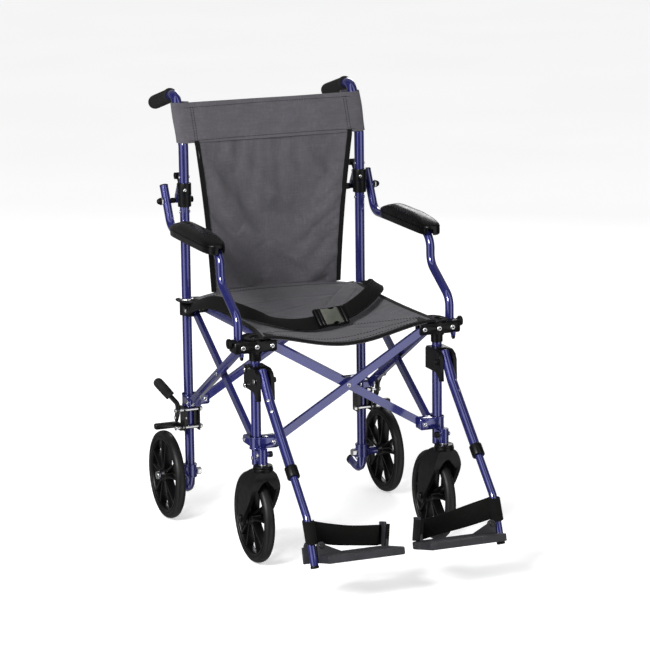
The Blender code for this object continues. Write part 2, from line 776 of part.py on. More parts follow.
def rim(name, carrier, x, y):
    """Moulded wheel: hub, ten ribs in pairs and a rim band."""
    z = WHEEL_RADIUS
    ring = turned(
        [(RIM_OUTER, -RIM_HALF_WIDTH), (RIM_INNER, -RIM_HALF_WIDTH),
         (RIM_INNER, RIM_HALF_WIDTH), (RIM_OUTER, RIM_HALF_WIDTH)],
        (x, y, z), (1, 0, 0), 30,
    )
    hub = cylinder((x - WHEEL_HUB_HALF, y, z), (x + WHEEL_HUB_HALF, y, z), WHEEL_HUB_RADIUS, 14)
    solids = [ring, hub]
    for pair in range(SPOKE_PAIRS):
        for spread in (-SPOKE_SPREAD, SPOKE_SPREAD):
            angle = math.pi / 2 + pair * 2 * math.pi / SPOKE_PAIRS + spread
            rib = box((x - 0.0060, 0.009, -0.0022), (x + 0.0060, RIM_INNER + 0.002, 0.0022))
            turn = Matrix.Rotation(angle, 4, "X")
            rib.data.transform(Matrix.Translation((0, y, z)) @ turn)
            solids.append(rib)
    bore = cylinder((x - 0.03, y, z), (x + 0.03, y, z), AXLE_BORE, 12)
    piece(name, carrier, "black_plastic", solids, [bore])


def tyre(name, carrier, x, y):
    """Solid tyre with a rounded tread."""
    half = TYRE_HALF_WIDTH
    crown = WHEEL_RADIUS
    profile = [
        (TYRE_INNER, -half * 0.75), (TYRE_INNER, half * 0.75),
        (TYRE_INNER + 0.0045, half), (crown - 0.0055, half * 0.92),
        (crown - 0.0015, half * 0.55), (crown, 0.0),
        (crown - 0.0015, -half * 0.55), (crown - 0.0055, -half * 0.92),
        (TYRE_INNER + 0.0045, -half),
    ]
    ring = turned(profile[::-1], (x, y, WHEEL_RADIUS), (1, 0, 0), 36)
    piece(name, carrier, "tyre_rubber", [ring])


def rear_wheel(side):
    x = SIDES[side] * REAR_WHEEL_X
    rim(side + "_rear_rim", side + "_rear_wheel", x, 0.0)
    tyre(side + "_rear_tyre", side + "_rear_wheel", x, 0.0)


def caster(side):
    """Fork that swivels in the leg's stem socket, and its wheel."""
    x = SIDES[side] * HALF_WIDTH
    stem_y = -DEPTH - STEM_OFFSET
    axle_y = stem_y + CASTER_TRAIL
    rim(side + "_caster_rim", side + "_caster_wheel", x, axle_y)
    tyre(side + "_caster_tyre", side + "_caster_wheel", x, axle_y)
    outline = [
        (stem_y - 0.0215, FORK_TOP - 0.008), (stem_y - 0.0250, 0.206),
        (stem_y - 0.0190, 0.178), (stem_y + 0.0080, 0.140),
        (axle_y - 0.0170, WHEEL_RADIUS + 0.006), (axle_y - 0.0120, WHEEL_RADIUS - 0.013),
        (axle_y, WHEEL_RADIUS - 0.0175), (axle_y + 0.0120, WHEEL_RADIUS - 0.013),
        (axle_y + 0.0160, WHEEL_RADIUS + 0.006), (axle_y + 0.0100, 0.150),
        (stem_y + 0.0560, 0.187), (stem_y + 0.0420, 0.210), (stem_y + 0.0215, FORK_TOP - 0.008),
    ]
    outline.reverse()
    cheeks = plate(outline, 2 * FORK_HALF_WIDTH, x, "yz")
    cap = cylinder((x, stem_y, FORK_TOP - 0.012), (x, stem_y, FORK_TOP), 0.0215, 20)
    wheel_room = cylinder(
        (x - FORK_SLOT_HALF, axle_y, WHEEL_RADIUS), (x + FORK_SLOT_HALF, axle_y, WHEEL_RADIUS),
        WHEEL_RADIUS + 0.005, 24,
    )
    front_view = plate(
        [(x - 0.0330, 0.060), (x + 0.0330, 0.060), (x + 0.0340, 0.196), (x + 0.0300, 0.206),
         (x + 0.0205, 0.2235), (x - 0.0205, 0.2235), (x - 0.0300, 0.206), (x - 0.0340, 0.196)],
        0.20, axle_y, "xz",
    )
    shaped = guide("guide", combined([cheeks], [], [front_view]))
    fork = guide("guide", combined([shaped, cap], [wheel_room]))
    stem = cylinder((x, stem_y, FORK_TOP - 0.006), (x, stem_y, 0.2465), STEM_RADIUS, 12)
    axle = cylinder(
        (x - FORK_HALF_WIDTH - 0.002, axle_y, WHEEL_RADIUS),
        (x + FORK_HALF_WIDTH + 0.002, axle_y, WHEEL_RADIUS), AXLE_RADIUS, 12,
    )
    piece(side + "_caster_fork", side + "_caster_fork", "black_plastic", [fork, stem, axle])


# ---------------------------------------------------------------- brakes


def brake(side):
    """Clamp on the post, hand lever and shoe of one rear brake."""
    x, sign = SIDES[side] * HALF_WIDTH, SIDES[side]
    low, high = BRAKE_BOLT_LOW - 0.009, BRAKE_BOLT_HIGH + 0.006
    block = box((x - 0.0165, -0.0135, low + 0.003), (x + 0.0165, 0.0160, high - 0.002))
    solids = [block]
    for offset in (-0.0175, 0.0175):
        solids.append(box((x + offset - 0.0016, BRAKE_BOLT_Y - 0.0060, low),
                          (x + offset + 0.0016, 0.0165, high)))
    for z in (BRAKE_BOLT_LOW, BRAKE_BOLT_HIGH):
        solids.append(cylinder((x - sign * 0.0250, BRAKE_BOLT_Y, z),
                               (x + sign * 0.0395, BRAKE_BOLT_Y, z), PIN_RADIUS, 10))
        solids.append(cylinder((x - sign * 0.0245, BRAKE_BOLT_Y, z),
                               (x - sign * 0.0205, BRAKE_BOLT_Y, z), HEAD_RADIUS, 10))
    bore = cylinder((x, 0, 0.18), (x, 0, 0.27), POST_RADIUS + FIT_GAP)
    piece(side + "_brake_bracket", side + "_rear_post", "black_steel", solids, [bore])

    pivot = (BRAKE_BOLT_Y, BRAKE_BOLT_LOW)
    hole = (*pivot, HOLE_RADIUS)
    link_x = x + sign * 0.0255
    link = plate(stadium(pivot, (SHOE_Y, SHOE_Z), 0.0062), 0.0044, link_x, "yz", [hole])
    shoe = box((link_x - sign * 0.0015, SHOE_Y - 0.0060, SHOE_Z - 0.0050),
               (sign * 0.2935, SHOE_Y + 0.0060, SHOE_Z + 0.0050), 0.002, 1)
    piece(side + "_brake_shoe", side + "_brake_shoe", "black_steel", [link, shoe])

    pivot = (BRAKE_BOLT_Y, BRAKE_BOLT_HIGH)
    hole = (*pivot, HOLE_RADIUS)
    lever_x = x + sign * 0.0330
    blade = plate(
        stadium((BRAKE_BOLT_Y + 0.012, BRAKE_BOLT_HIGH - 0.020), pivot, 0.0068), 0.0050,
        lever_x, "yz", [hole],
    )
    rod = tube(
        [(lever_x, BRAKE_BOLT_Y - 0.001, BRAKE_BOLT_HIGH + 0.0045),
         (lever_x + sign * 0.001, BRAKE_BOLT_Y - 0.001, BRAKE_BOLT_HIGH + 0.016),
         (lever_x + sign * 0.020, 0.0000, BRAKE_BOLT_HIGH + 0.052)],
        0.0036, 0.010, 8,
    )
    start = Vector((lever_x + sign * 0.0105, -0.0085, BRAKE_BOLT_HIGH + 0.0325))
    end = Vector((lever_x + sign * 0.034, 0.0095, BRAKE_BOLT_HIGH + 0.0775))
    handle = cylinder(start, end, 0.0100, 14)
    piece(side + "_brake_lever", side + "_brake_lever", "black_plastic", [blade, rod, handle])


# ---------------------------------------------------------------- footrests


def footrest(side):
    """Clamp on the leg, swinging tube, sliding extension and footplate of one footrest."""
    x, sign = SIDES[side] * HALF_WIDTH, SIDES[side]
    rear = -DEPTH + 0.0180
    py, pz = HANGER_PIVOT
    outline = [
        (rear, 0.3965), (rear, 0.441), (rear - 0.006, 0.447), (-0.472, 0.447), (-0.486, 0.440),
        (-0.4925, 0.428), (-0.4935, 0.400), (-0.4945, 0.381), (-0.486, 0.3785), (-0.480, 0.388),
        (-0.466, 0.3965),
    ]
    housing = plate(outline[::-1], 0.0400, x, "yz")
    cuts = [
        cylinder((x, -DEPTH, 0.33), (x, -DEPTH, 0.47), POST_RADIUS + FIT_GAP),
        box((x - 0.0118, -0.4520, 0.34), (x + 0.0118, -0.54, 0.47)),
    ]
    shell = guide("guide", combined([housing], cuts))
    pins = bolt((x - sign * -0.0200, py, pz), (x - sign * 0.0200, py, pz), True, False)
    pins.append(cylinder((x - sign * 0.0190, py, pz), (x - sign * 0.0275, py, pz), 0.0062, 10))
    for z in (0.4370, 0.4025):
        pins.append(cylinder((x + sign * 0.0190, -0.4235, z), (x + sign * 0.0222, -0.4235, z),
                             HEAD_RADIUS, 10))
    piece(side + "_footrest_clamp", side + "_front_leg", "black_plastic", [shell] + pins)

    path = [(x, *FOOTREST_TOP), (x, *FOOTREST_BEND), (x, *FOOTREST_END)]
    outer = tube(path, FOOTREST_RADIUS, 0.050, 12)
    collar_dir = (Vector((x, *FOOTREST_END)) - Vector((x, *FOOTREST_BEND))).normalized()
    end = Vector((x, *FOOTREST_END))
    collar = cylinder(end - collar_dir * 0.0230, end + collar_dir * 0.0020, 0.0138, 16)
    start_bore = Vector((x, *FOOTREST_BEND)) + collar_dir * 0.022
    bore = cylinder(start_bore, end + collar_dir * 0.02, FOOTREST_BORE, 14)
    pivot_hole = cylinder((x - 0.02, py, pz), (x + 0.02, py, pz), HOLE_RADIUS, 12)
    piece(
        side + "_footrest_tube", side + "_footrest", "blue_paint",
        [outer, collar], [bore, pivot_hole],
    )

    inner_start = Vector((x, *FOOTREST_BEND)) + collar_dir * 0.075
    extension = tube(
        [inner_start, (x, *EXTENSION_BEND), (x, *EXTENSION_END)], EXTENSION_RADIUS, 0.030, 10
    )
    axis = Vector((0, math.cos(PLATE_PITCH), -math.sin(PLATE_PITCH)))
    pin_at = Vector((x, *PLATE_PIN))
    pin_hole = cylinder(pin_at - axis * 0.03, pin_at + axis * 0.03, HOLE_RADIUS, 12)
    piece(
        side + "_footrest_extension", side + "_footrest_extension", "blue_paint",
        [extension], [pin_hole],
    )
    footplate(side, pin_at, axis)


def footplate(side, pin_at, axis):
    """Footplate in its own frame: u inboard, s rearward along the pin, w up."""
    sign = SIDES[side]
    inboard = Vector((-sign, 0, 0))
    up = Vector((0, math.sin(PLATE_PITCH), math.cos(PLATE_PITCH)))
    frame = Matrix((
        (inboard.x, axis.x, up.x, pin_at.x),
        (inboard.y, axis.y, up.y, pin_at.y),
        (inboard.z, axis.z, up.z, pin_at.z),
        (0, 0, 0, 1),
    ))
    reach = HALF_WIDTH - PLATE_INNER_GAP
    deck = box((0.0135, -0.062, -0.0370), (reach, 0.042, -0.0200), 0.003, 1)
    solids = [deck]
    for near, far in ((-0.0240, -0.0180), (0.0150, 0.0210)):
        solids.append(box((-0.0120, near, -0.0365), (0.0180, far, -0.0010)))
        solids.append(cylinder((0.0, near, 0.0), (0.0, far, 0.0), 0.0100, 14))
    solids.append(cylinder((0.0, -0.0255, 0.0), (0.0, 0.0225, 0.0), PIN_RADIUS, 10))
    gusset = box((0.010, -0.0240, -0.030), (0.085, -0.0180, -0.0202))
    for vert in gusset.data.vertices:
        if vert.co.z > -0.025 and vert.co.x < 0.05:
            vert.co.z = 0.004
    solids.append(gusset)
    solids.append(box((reach - 0.0130, 0.010, -0.022), (reach - 0.0070, 0.036, 0.032), 0.0012, 1))
    mesh = combined(solids)
    mesh.transform(frame)
    if frame.determinant() < 0:
        mesh.flip_normals()
    finished(side + "_footplate", side + "_footplate", "grey_plastic", mesh)


# ---------------------------------------------------------------- soft parts


def sheet(name, carrier, material, place, columns, rows, thickness):
    """A closed cloth panel: place(u, v) gives its mid surface for u and v from 0 to 1."""
    shape = bmesh.new()
    grid = [
        [shape.verts.new(place(i / columns, j / rows)) for i in range(columns + 1)]
        for j in range(rows + 1)
    ]
    for below, above in zip(grid, grid[1:]):
        for i in range(columns):
            shape.faces.new((below[i], below[i + 1], above[i + 1], above[i]))
    source = from_bmesh(shape)
    solid = source.modifiers.new("thickness", "SOLIDIFY")
    solid.thickness = thickness
    solid.offset = 0.0
    piece(name, carrier, material, [welded(source)])


def seat_height(x):
    """Height of the seat's mid surface: taut along the hubs, sagging between them."""
    hang = max(0.0, 1 - (x / SEAT_HALF_WIDTH) ** 2)
    return SEAT_EDGE_Z - SEAT_SAG * hang ** 1.7


def seat_place(u, v):
    x = SEAT_HALF_WIDTH * (2 * u - 1)
    y = SEAT_FRONT + (SEAT_REAR - SEAT_FRONT) * v
    return x, y, seat_height(x)


def cane_y(z):
    """Where the cane's axis runs at height z."""
    (y0, z0), (y1, z1) = CANE_PATH[1:3]
    return 0.0 if z < z0 else y0 + (y1 - y0) * (z - z0) / (z1 - z0)


def back_place(u, v):
    """The back sling: a straight band in front of the canes above a panel that narrows down."""
    z = PANEL_BOTTOM_Z + (BACK_TOP - PANEL_BOTTOM_Z) * v
    if z >= BAND_BOTTOM:
        half = BAND_HALF_WIDTH
    else:
        rise = (z - PANEL_BOTTOM_Z) / (BAND_BOTTOM - PANEL_BOTTOM_Z)
        half = PANEL_BOTTOM_HALF + (PANEL_TOP_HALF - PANEL_BOTTOM_HALF) * rise
    x = half * (2 * u - 1)
    belly = 0.020 * (1 - (2 * u - 1) ** 2) * math.sin(math.pi * min(1.0, v + 0.12))
    return x, cane_y(z) - 0.0145 + belly, z


BELT_PATH = (
    (-0.186, -0.030), (-0.178, -0.140), (-0.140, -0.250), (-0.060, -0.305),
    (0.035, -0.272), (0.110, -0.215), (0.165, -0.120), (0.186, -0.030),
)


def lap_belt():
    """Belt webbing laid over the seat, in one run from rear corner to rear corner."""
    points = [Vector(point) for point in BELT_PATH]
    count = 20

    def along(t):
        place = t * (len(points) - 1)
        i = min(int(place), len(points) - 2)
        f = place - i
        p0, p1 = points[max(i - 1, 0)], points[i]
        p2, p3 = points[i + 1], points[min(i + 2, len(points) - 1)]
        return 0.5 * (
            2 * p1 + (p2 - p0) * f + (2 * p0 - 5 * p1 + 4 * p2 - p3) * f * f
            + (3 * p1 - p0 - 3 * p2 + p3) * f ** 3
        )

    def place(u, v):
        spot = along(v)
        heading = (along(min(1.0, v + 0.01)) - along(max(0.0, v - 0.01))).normalized()
        aside = Vector((-heading.y, heading.x)) * BELT_WIDTH * (u - 0.5)
        x, y = spot + aside
        level = min(max(abs(spot.x) + 0.012, BELT_LEVEL_X), SEAT_HALF_WIDTH)
        return x, y, seat_height(level) + BELT_LIFT

    sheet("lap_belt", "right_rear_post", "black_webbing", place, 1, count, BELT_THICKNESS)


def buckle():
    """Side-release buckle lying on the belt."""
    x, y = BUCKLE_CENTRE
    z = seat_height(BELT_LEVEL_X) + BELT_LIFT + BELT_THICKNESS / 2 + 0.0064
    shell = box((-0.036, -0.024, -0.0060), (0.036, 0.024, 0.0060), 0.004, 2)
    heading = math.atan2(BELT_PATH[5][1] - BELT_PATH[3][1], BELT_PATH[5][0] - BELT_PATH[3][0])
    shell.data.transform(Matrix.Translation((x, y, z)) @ Matrix.Rotation(heading, 4, "Z"))
    piece("belt_buckle", "right_rear_post", "black_plastic", [shell])


def heel_strap(side):
    """Heel strap from the extension tube to the post on the footplate."""
    sign = SIDES[side]
    outer = Vector((sign * (HALF_WIDTH - 0.0125), -0.7190, 0.1500))
    inner = Vector((sign * (PLATE_INNER_GAP + 0.0160), -0.7165, 0.1265))

    def place(u, v):
        spot = outer.lerp(inner, u)
        sag = 0.024 * math.sin(math.pi * u)
        height = (v - 0.5) * 0.046
        return spot.x, spot.y + sag - 0.2 * height, spot.z + height - 0.4 * sag

    name = side + "_heel_strap"
    sheet(name, side + "_footrest_extension", "black_webbing", place, 8, 1, 0.0025)


# ---------------------------------------------------------------- bodies


def make_bodies():
    """The tree of moving bodies, each on the pivot it turns or slides about."""
    inner = HALF_WIDTH - PIVOT_OFFSET
    near, far = -PIVOT_OFFSET, -(DEPTH - PIVOT_OFFSET)
    right, left = -HALF_WIDTH, HALF_WIDTH
    body("right_rear_post", (right, 0, 0))
    body("rear_bar_1", (-inner, 0, LOW_PIVOT_Z), "right_rear_post")
    body("rear_bar_2", (0, 0, MID_PIVOT_Z), "rear_bar_1")
    body("left_rear_post", (inner, 0, LOW_PIVOT_Z), "rear_bar_2")
    body("right_rear_hub", (-inner, 0, HIGH_PIVOT_Z), "rear_bar_2")
    body("left_rear_hub", (inner, 0, HIGH_PIVOT_Z), "rear_bar_1")
    for side, x in (("right", right), ("left", left)):
        body(side + "_bar_1", (x, near, LOW_PIVOT_Z), side + "_rear_post")
        body(side + "_bar_2", (x, (near + far) / 2, MID_PIVOT_Z), side + "_bar_1")
        body(side + "_front_leg", (x, far, LOW_PIVOT_Z), side + "_bar_2")
        body(side + "_front_hub", (x, far, HIGH_PIVOT_Z), side + "_bar_1")
    body("front_bar_1", (-inner, -DEPTH, LOW_PIVOT_Z), "right_front_leg")
    body("front_bar_2", (0, -DEPTH, MID_PIVOT_Z), "front_bar_1")
    for side, sign in SIDES.items():
        x = sign * HALF_WIDTH
        post, leg = side + "_rear_post", side + "_front_leg"
        body(side + "_cane", (x, *BACK_HINGE), post)
        body(side + "_back_latch", (x, *LATCH_PIVOT), side + "_cane")
        body(side + "_arm", (sign * ARM_X, *BACK_HINGE), post)
        body(side + "_rear_wheel", (sign * REAR_WHEEL_X, 0, WHEEL_RADIUS), post)
        body(side + "_brake_lever", (x + sign * 0.0330, BRAKE_BOLT_Y, BRAKE_BOLT_HIGH), post)
        body(side + "_brake_shoe", (x + sign * 0.0255, BRAKE_BOLT_Y, BRAKE_BOLT_LOW), post)
        body(side + "_release_knob", (sign * 0.272, -DEPTH + 0.004, HIGH_PIVOT_Z), side + "_front_hub")
        stem_y = -DEPTH - STEM_OFFSET
        body(side + "_caster_fork", (x, stem_y, FORK_TOP), leg)
        body(side + "_caster_wheel", (x, stem_y + CASTER_TRAIL, WHEEL_RADIUS), side + "_caster_fork")
        body(side + "_footrest", (x, *HANGER_PIVOT), leg)
        body(side + "_footrest_extension", (x, *FOOTREST_END), side + "_footrest")
        body(side + "_footplate", (x, *PLATE_PIN), side + "_footrest_extension")


def main():
    global PARTS, GUIDES
    clear_scene()
    PARTS = new_collection("transport_wheelchair")
    GUIDES = new_collection("guides")
    make_materials()
    make_bodies()
    cross_bars("rear", "rear_bar_1", "rear_bar_2")
    cross_bars("front", "front_bar_1", "front_bar_2")
    for side in SIDES:
        side_bars(side)
        rear_post(side)
        rear_hub(side)
        front_leg(side)
        front_hub(side)
        release_knob(side)
        back_joint(side)
        cane(side)
        back_latch(side)
        grip(side)
        arm_rest(side)
        rear_wheel(side)
        caster(side)
        brake(side)
        footrest(side)
        heel_strap(side)
    sheet("seat_sling", "right_rear_post", "grey_fabric", seat_place, 12, 1, SEAT_THICKNESS)
    sheet("back_sling", "right_cane", "grey_fabric", back_place, 6, 10, SEAT_THICKNESS)
    lap_belt()
    buckle()


main()
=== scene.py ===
"""The looks of the folding transport wheelchair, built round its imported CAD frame.

Metres, +Z up, the chair faces -Y. "right" is the sitter's right (-X), "left" their left (+X).
Depths are measured from the rear posts, which stand REAR_POST_Y behind the frame's origin.
"""

import json
import math

import bmesh
import bpy
from mathutils import Matrix, Vector
from mathutils.bvhtree import BVHTree

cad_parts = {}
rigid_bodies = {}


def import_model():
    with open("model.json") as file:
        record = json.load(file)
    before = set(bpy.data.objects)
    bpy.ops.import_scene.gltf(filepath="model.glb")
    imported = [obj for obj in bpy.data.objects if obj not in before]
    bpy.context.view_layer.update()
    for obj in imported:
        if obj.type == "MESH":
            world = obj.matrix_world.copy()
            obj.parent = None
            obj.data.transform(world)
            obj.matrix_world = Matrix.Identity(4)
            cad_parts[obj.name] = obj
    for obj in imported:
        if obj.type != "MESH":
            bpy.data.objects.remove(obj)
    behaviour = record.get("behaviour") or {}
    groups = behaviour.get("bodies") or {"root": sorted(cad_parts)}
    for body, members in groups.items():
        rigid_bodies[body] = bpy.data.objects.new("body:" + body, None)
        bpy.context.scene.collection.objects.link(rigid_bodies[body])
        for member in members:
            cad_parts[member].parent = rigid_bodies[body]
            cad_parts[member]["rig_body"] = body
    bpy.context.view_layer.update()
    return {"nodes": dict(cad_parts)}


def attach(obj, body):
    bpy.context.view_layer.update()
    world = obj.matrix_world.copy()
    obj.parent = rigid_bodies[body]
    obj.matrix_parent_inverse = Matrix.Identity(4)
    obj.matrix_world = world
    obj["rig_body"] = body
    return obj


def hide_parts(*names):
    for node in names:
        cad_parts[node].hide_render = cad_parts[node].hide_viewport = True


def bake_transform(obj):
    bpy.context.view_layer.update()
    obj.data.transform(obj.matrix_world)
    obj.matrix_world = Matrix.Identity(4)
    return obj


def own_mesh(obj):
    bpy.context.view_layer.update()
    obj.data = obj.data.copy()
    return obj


for old in list(bpy.data.objects):
    bpy.data.objects.remove(old, do_unlink=True)
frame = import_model()

SIDES = {"right": -1, "left": 1}
REAR_POST_Y = 0.305
HALF_WIDTH = 0.215
DEPTH = 0.430
PIVOT_OFFSET = 0.035
LOW_PIVOT_Z = 0.274
HIGH_PIVOT_Z = 0.489
MID_PIVOT_Z = 0.3815
FITTING_HALF = 0.0150
WHEEL_RADIUS = 0.1016
REAR_WHEEL_X = 0.2713
STEM_Y = -0.4665
CASTER_Y = STEM_Y + 0.056
ARM_X = 0.250
BACK_HINGE = (0.0215, 0.7345)
CANE_PATH = ((0.0, 0.757), (0.0, 0.862), (0.045, 0.975), (0.190, 0.935))
ARM_PATH = (
    (0.0388, 0.7661), (-0.006, 0.676), (-0.320, 0.679), (-0.320, 0.612), (-0.421, 0.550),
    (-0.421, 0.5039),
)
FOOTREST_PATH = ((-0.4705, 0.4415), (-0.5120, 0.3830), (-0.6460, 0.2502))
EXTENSION_PATH = ((-0.5760, 0.3196), (-0.7185, 0.1787), (-0.7580, 0.0845))
PLATE_PIN = (-0.7415, 0.1235)
PLATE_PITCH = math.radians(14)
PLATE_REACH = 0.185

SEAT_HALF = 0.200
SEAT_FRONT = -0.447
SEAT_REAR = -0.004
SEAT_EDGE_Z = 0.5115
SEAT_SAG = 0.035
SEAT_SPLIT = -0.215
BACK_TOP = 0.954
BAND_BOTTOM = 0.867
PANEL_TOP_HALF = 0.188
PANEL_BOTTOM_HALF = 0.155
PANEL_BOTTOM_Z = 0.521
SLEEVE_RADIUS = 0.0142

SHIFT = Matrix.Translation((0, REAR_POST_Y, 0))
MATERIALS = {}


# ---------------------------------------------------------------- materials


def link(tree, source, target):
    tree.links.new(source, target)


def math_node(tree, operation, first, second):
    node = tree.nodes.new("ShaderNodeMath")
    node.operation = operation
    for socket, value in zip(node.inputs, (first, second)):
        if isinstance(value, (int, float)):
            socket.default_value = value
        else:
            link(tree, value, socket)
    return node.outputs[0]


def noise_node(tree, coords, scale, detail=3.0, roughness=0.55):
    node = tree.nodes.new("ShaderNodeTexNoise")
    node.inputs["Scale"].default_value = scale
    node.inputs["Detail"].default_value = detail
    node.inputs["Roughness"].default_value = roughness
    link(tree, coords, node.inputs["Vector"])
    return node.outputs["Fac"]


def stretched(tree, coords, scale):
    node = tree.nodes.new("ShaderNodeMapping")
    node.inputs["Scale"].default_value = scale
    link(tree, coords, node.inputs["Vector"])
    return node.outputs[0]


def vector_node(tree, operation, vector, second=None, output="Vector"):
    node = tree.nodes.new("ShaderNodeVectorMath")
    node.operation = operation
    link(tree, vector, node.inputs[0])
    if isinstance(second, tuple):
        node.inputs[1].default_value = second
    elif second is not None:
        node.inputs["Scale"].default_value = second
    return node.outputs[output]


def spread(tree, value, low, high, start=0.35, end=0.65):
    """value, mostly between start and end, mapped on to low to high."""
    node = tree.nodes.new("ShaderNodeMapRange")
    for name, number in zip(("From Min", "From Max", "To Min", "To Max"), (start, end, low, high)):
        node.inputs[name].default_value = number
    link(tree, value, node.inputs["Value"])
    return node.outputs["Result"]


def mixed(tree, share, first, second):
    node = tree.nodes.new("ShaderNodeMix")
    node.data_type = "RGBA"
    link(tree, share, node.inputs["Factor"])
    for socket, value in ((node.inputs[6], first), (node.inputs[7], second)):
        if isinstance(value, tuple):
            socket.default_value = (*value, 1.0)
        else:
            link(tree, value, socket)
    return node.outputs[2]


def surface(name, colour, roughness, metallic=0.0, coat=0.0, sheen=0.0, cloud=0.2):
    """A Principled material with cloudy colour and roughness, returned with its tools."""
    made = bpy.data.materials.new(name)
    made.use_nodes = True
    tree = made.node_tree
    shader = tree.nodes["Principled BSDF"]
    coords = tree.nodes.new("ShaderNodeTexCoord").outputs["Object"]
    shader.inputs["Metallic"].default_value = metallic
    shader.inputs["Coat Weight"].default_value = coat
    shader.inputs["Coat Roughness"].default_value = 0.08
    shader.inputs["Sheen Weight"].default_value = sheen
    shader.inputs["Sheen Roughness"].default_value = 0.5
    if not metallic:
        shader.inputs["Specular IOR Level"].default_value = 0.34
    patches = noise_node(tree, coords, 26.0, 5.0)
    dark = tuple(c * (1.0 - cloud) for c in colour)
    light = tuple(c * (1.0 + cloud) for c in colour)
    shade = mixed(tree, spread(tree, patches, 0.0, 1.0), dark, light)
    link(tree, shade, shader.inputs["Base Color"])
    haze = noise_node(tree, coords, 60.0, 4.0)
    link(tree, spread(tree, haze, roughness - 0.05, roughness + 0.06), shader.inputs["Roughness"])
    MATERIALS[name] = made
    return tree, shader, coords, shade


def bump(tree, shader, height, strength, distance):
    node = tree.nodes.new("ShaderNodeBump")
    node.inputs["Strength"].default_value = strength
    node.inputs["Distance"].default_value = distance
    link(tree, height, node.inputs["Height"])
    link(tree, node.outputs["Normal"], shader.inputs["Normal"])


def paint_material():
    """Metallic blue lacquer: fine flake under a clear coat, with a few faint scuffs."""
    tree, shader, coords, shade = surface(
        "blue_paint", (0.020, 0.022, 0.150), 0.20, 0.45, 1.0, cloud=0.10
    )
    flake = noise_node(tree, coords, 1800.0, 1.0)
    sparkle = mixed(tree, spread(tree, flake, 0.0, 0.20, 0.5, 0.8), shade, (0.035, 0.037, 0.20))
    shader.inputs["Coat IOR"].default_value = 1.75
    scuff = noise_node(tree, coords, 210.0, 6.0, 0.75)
    worn = mixed(tree, spread(tree, scuff, 0.0, 0.3, 0.75, 0.80), sparkle, (0.06, 0.06, 0.16))
    link(tree, worn, shader.inputs["Base Color"])
    bump(tree, shader, noise_node(tree, coords, 420.0, 1.0), 0.008, 0.0001)


def grained_material(
    name, colour, roughness, grain, strength, coat=0.0, metallic=0.0, specular=0.34
):
    """Moulded plastic, foam or rubber with a fine grain and faint rubbed spots."""
    tree, shader, coords, shade = surface(name, colour, roughness, metallic, coat)
    shader.inputs["Specular IOR Level"].default_value = specular
    dust = noise_node(tree, coords, 95.0, 6.0, 0.7)
    pale = tuple(min(1.0, c * 2.0 + 0.004) for c in colour)
    rubbed = mixed(tree, spread(tree, dust, 0.0, 0.35, 0.62, 0.80), shade, pale)
    link(tree, rubbed, shader.inputs["Base Color"])
    bump(tree, shader, noise_node(tree, coords, grain, 3.0, 0.6), strength, 0.0004)


def steel_material(name, colour, roughness):
    tree, shader, coords, _ = surface(name, colour, roughness, 1.0)
    brushed = stretched(tree, coords, (300.0, 1600.0, 1600.0))
    bump(tree, shader, noise_node(tree, brushed, 1.0, 3.0), 0.12, 0.0002)


def cloth_material(name, colour, pitch, across, along, melange, sheen, depth=0.0005):
    """Plain weave: threads run along the two given object axes, one over the other in turn."""
    tree, shader, coords, shade = surface(name, colour, 0.86, sheen=sheen)
    shader.inputs["Specular IOR Level"].default_value = 0.12
    split = tree.nodes.new("ShaderNodeSeparateXYZ")
    link(tree, coords, split.inputs[0])
    waves = []
    for axis in (across, along):
        turn = math_node(tree, "MULTIPLY", split.outputs[axis], math.pi / pitch)
        waves.append(math_node(tree, "SINE", turn, 0.0))
    over = math_node(tree, "MULTIPLY", waves[0], waves[1])
    rounds = [math_node(tree, "ABSOLUTE", wave, 0.0) for wave in waves]
    warp = math_node(tree, "MULTIPLY", spread(tree, over, 0.0, 1.0, -0.2, 0.2), rounds[0])
    weft = math_node(tree, "MULTIPLY", spread(tree, over, 1.0, 0.0, -0.2, 0.2), rounds[1])
    height = math_node(tree, "ADD", warp, weft)
    fleck = [1100.0 if i == across else 160.0 for i in range(3)]
    flecks = noise_node(tree, stretched(tree, coords, fleck), 1.0, 3.0, 0.7)
    pale = tuple(min(1.0, c * (1.0 + melange)) for c in colour)
    thread = mixed(tree, spread(tree, flecks, 0.0, 0.8), shade, pale)
    uneven = tuple(c * 0.78 for c in colour)
    for axis in (across, along):
        streak = [22.0 if i == axis else 300.0 for i in range(3)]
        slub = noise_node(tree, stretched(tree, coords, streak), 1.0, 2.0)
        thread = mixed(tree, spread(tree, slub, 0.0, 0.55), thread, uneven)
    # Painted shade: threads are darkened to the gap colour where the weave dips between them, in
    # the hollows of the cloth.
    gap = tuple(c * 0.45 for c in colour)
    link(tree, mixed(tree, spread(tree, height, 0.0, 1.0, 0.0, 0.6), gap, thread),
         shader.inputs["Base Color"])
    fuzz = noise_node(tree, coords, 900.0, 2.0)
    relief = math_node(tree, "ADD", height, math_node(tree, "MULTIPLY", fuzz, 0.4))
    bump(tree, shader, relief, 0.6, depth)


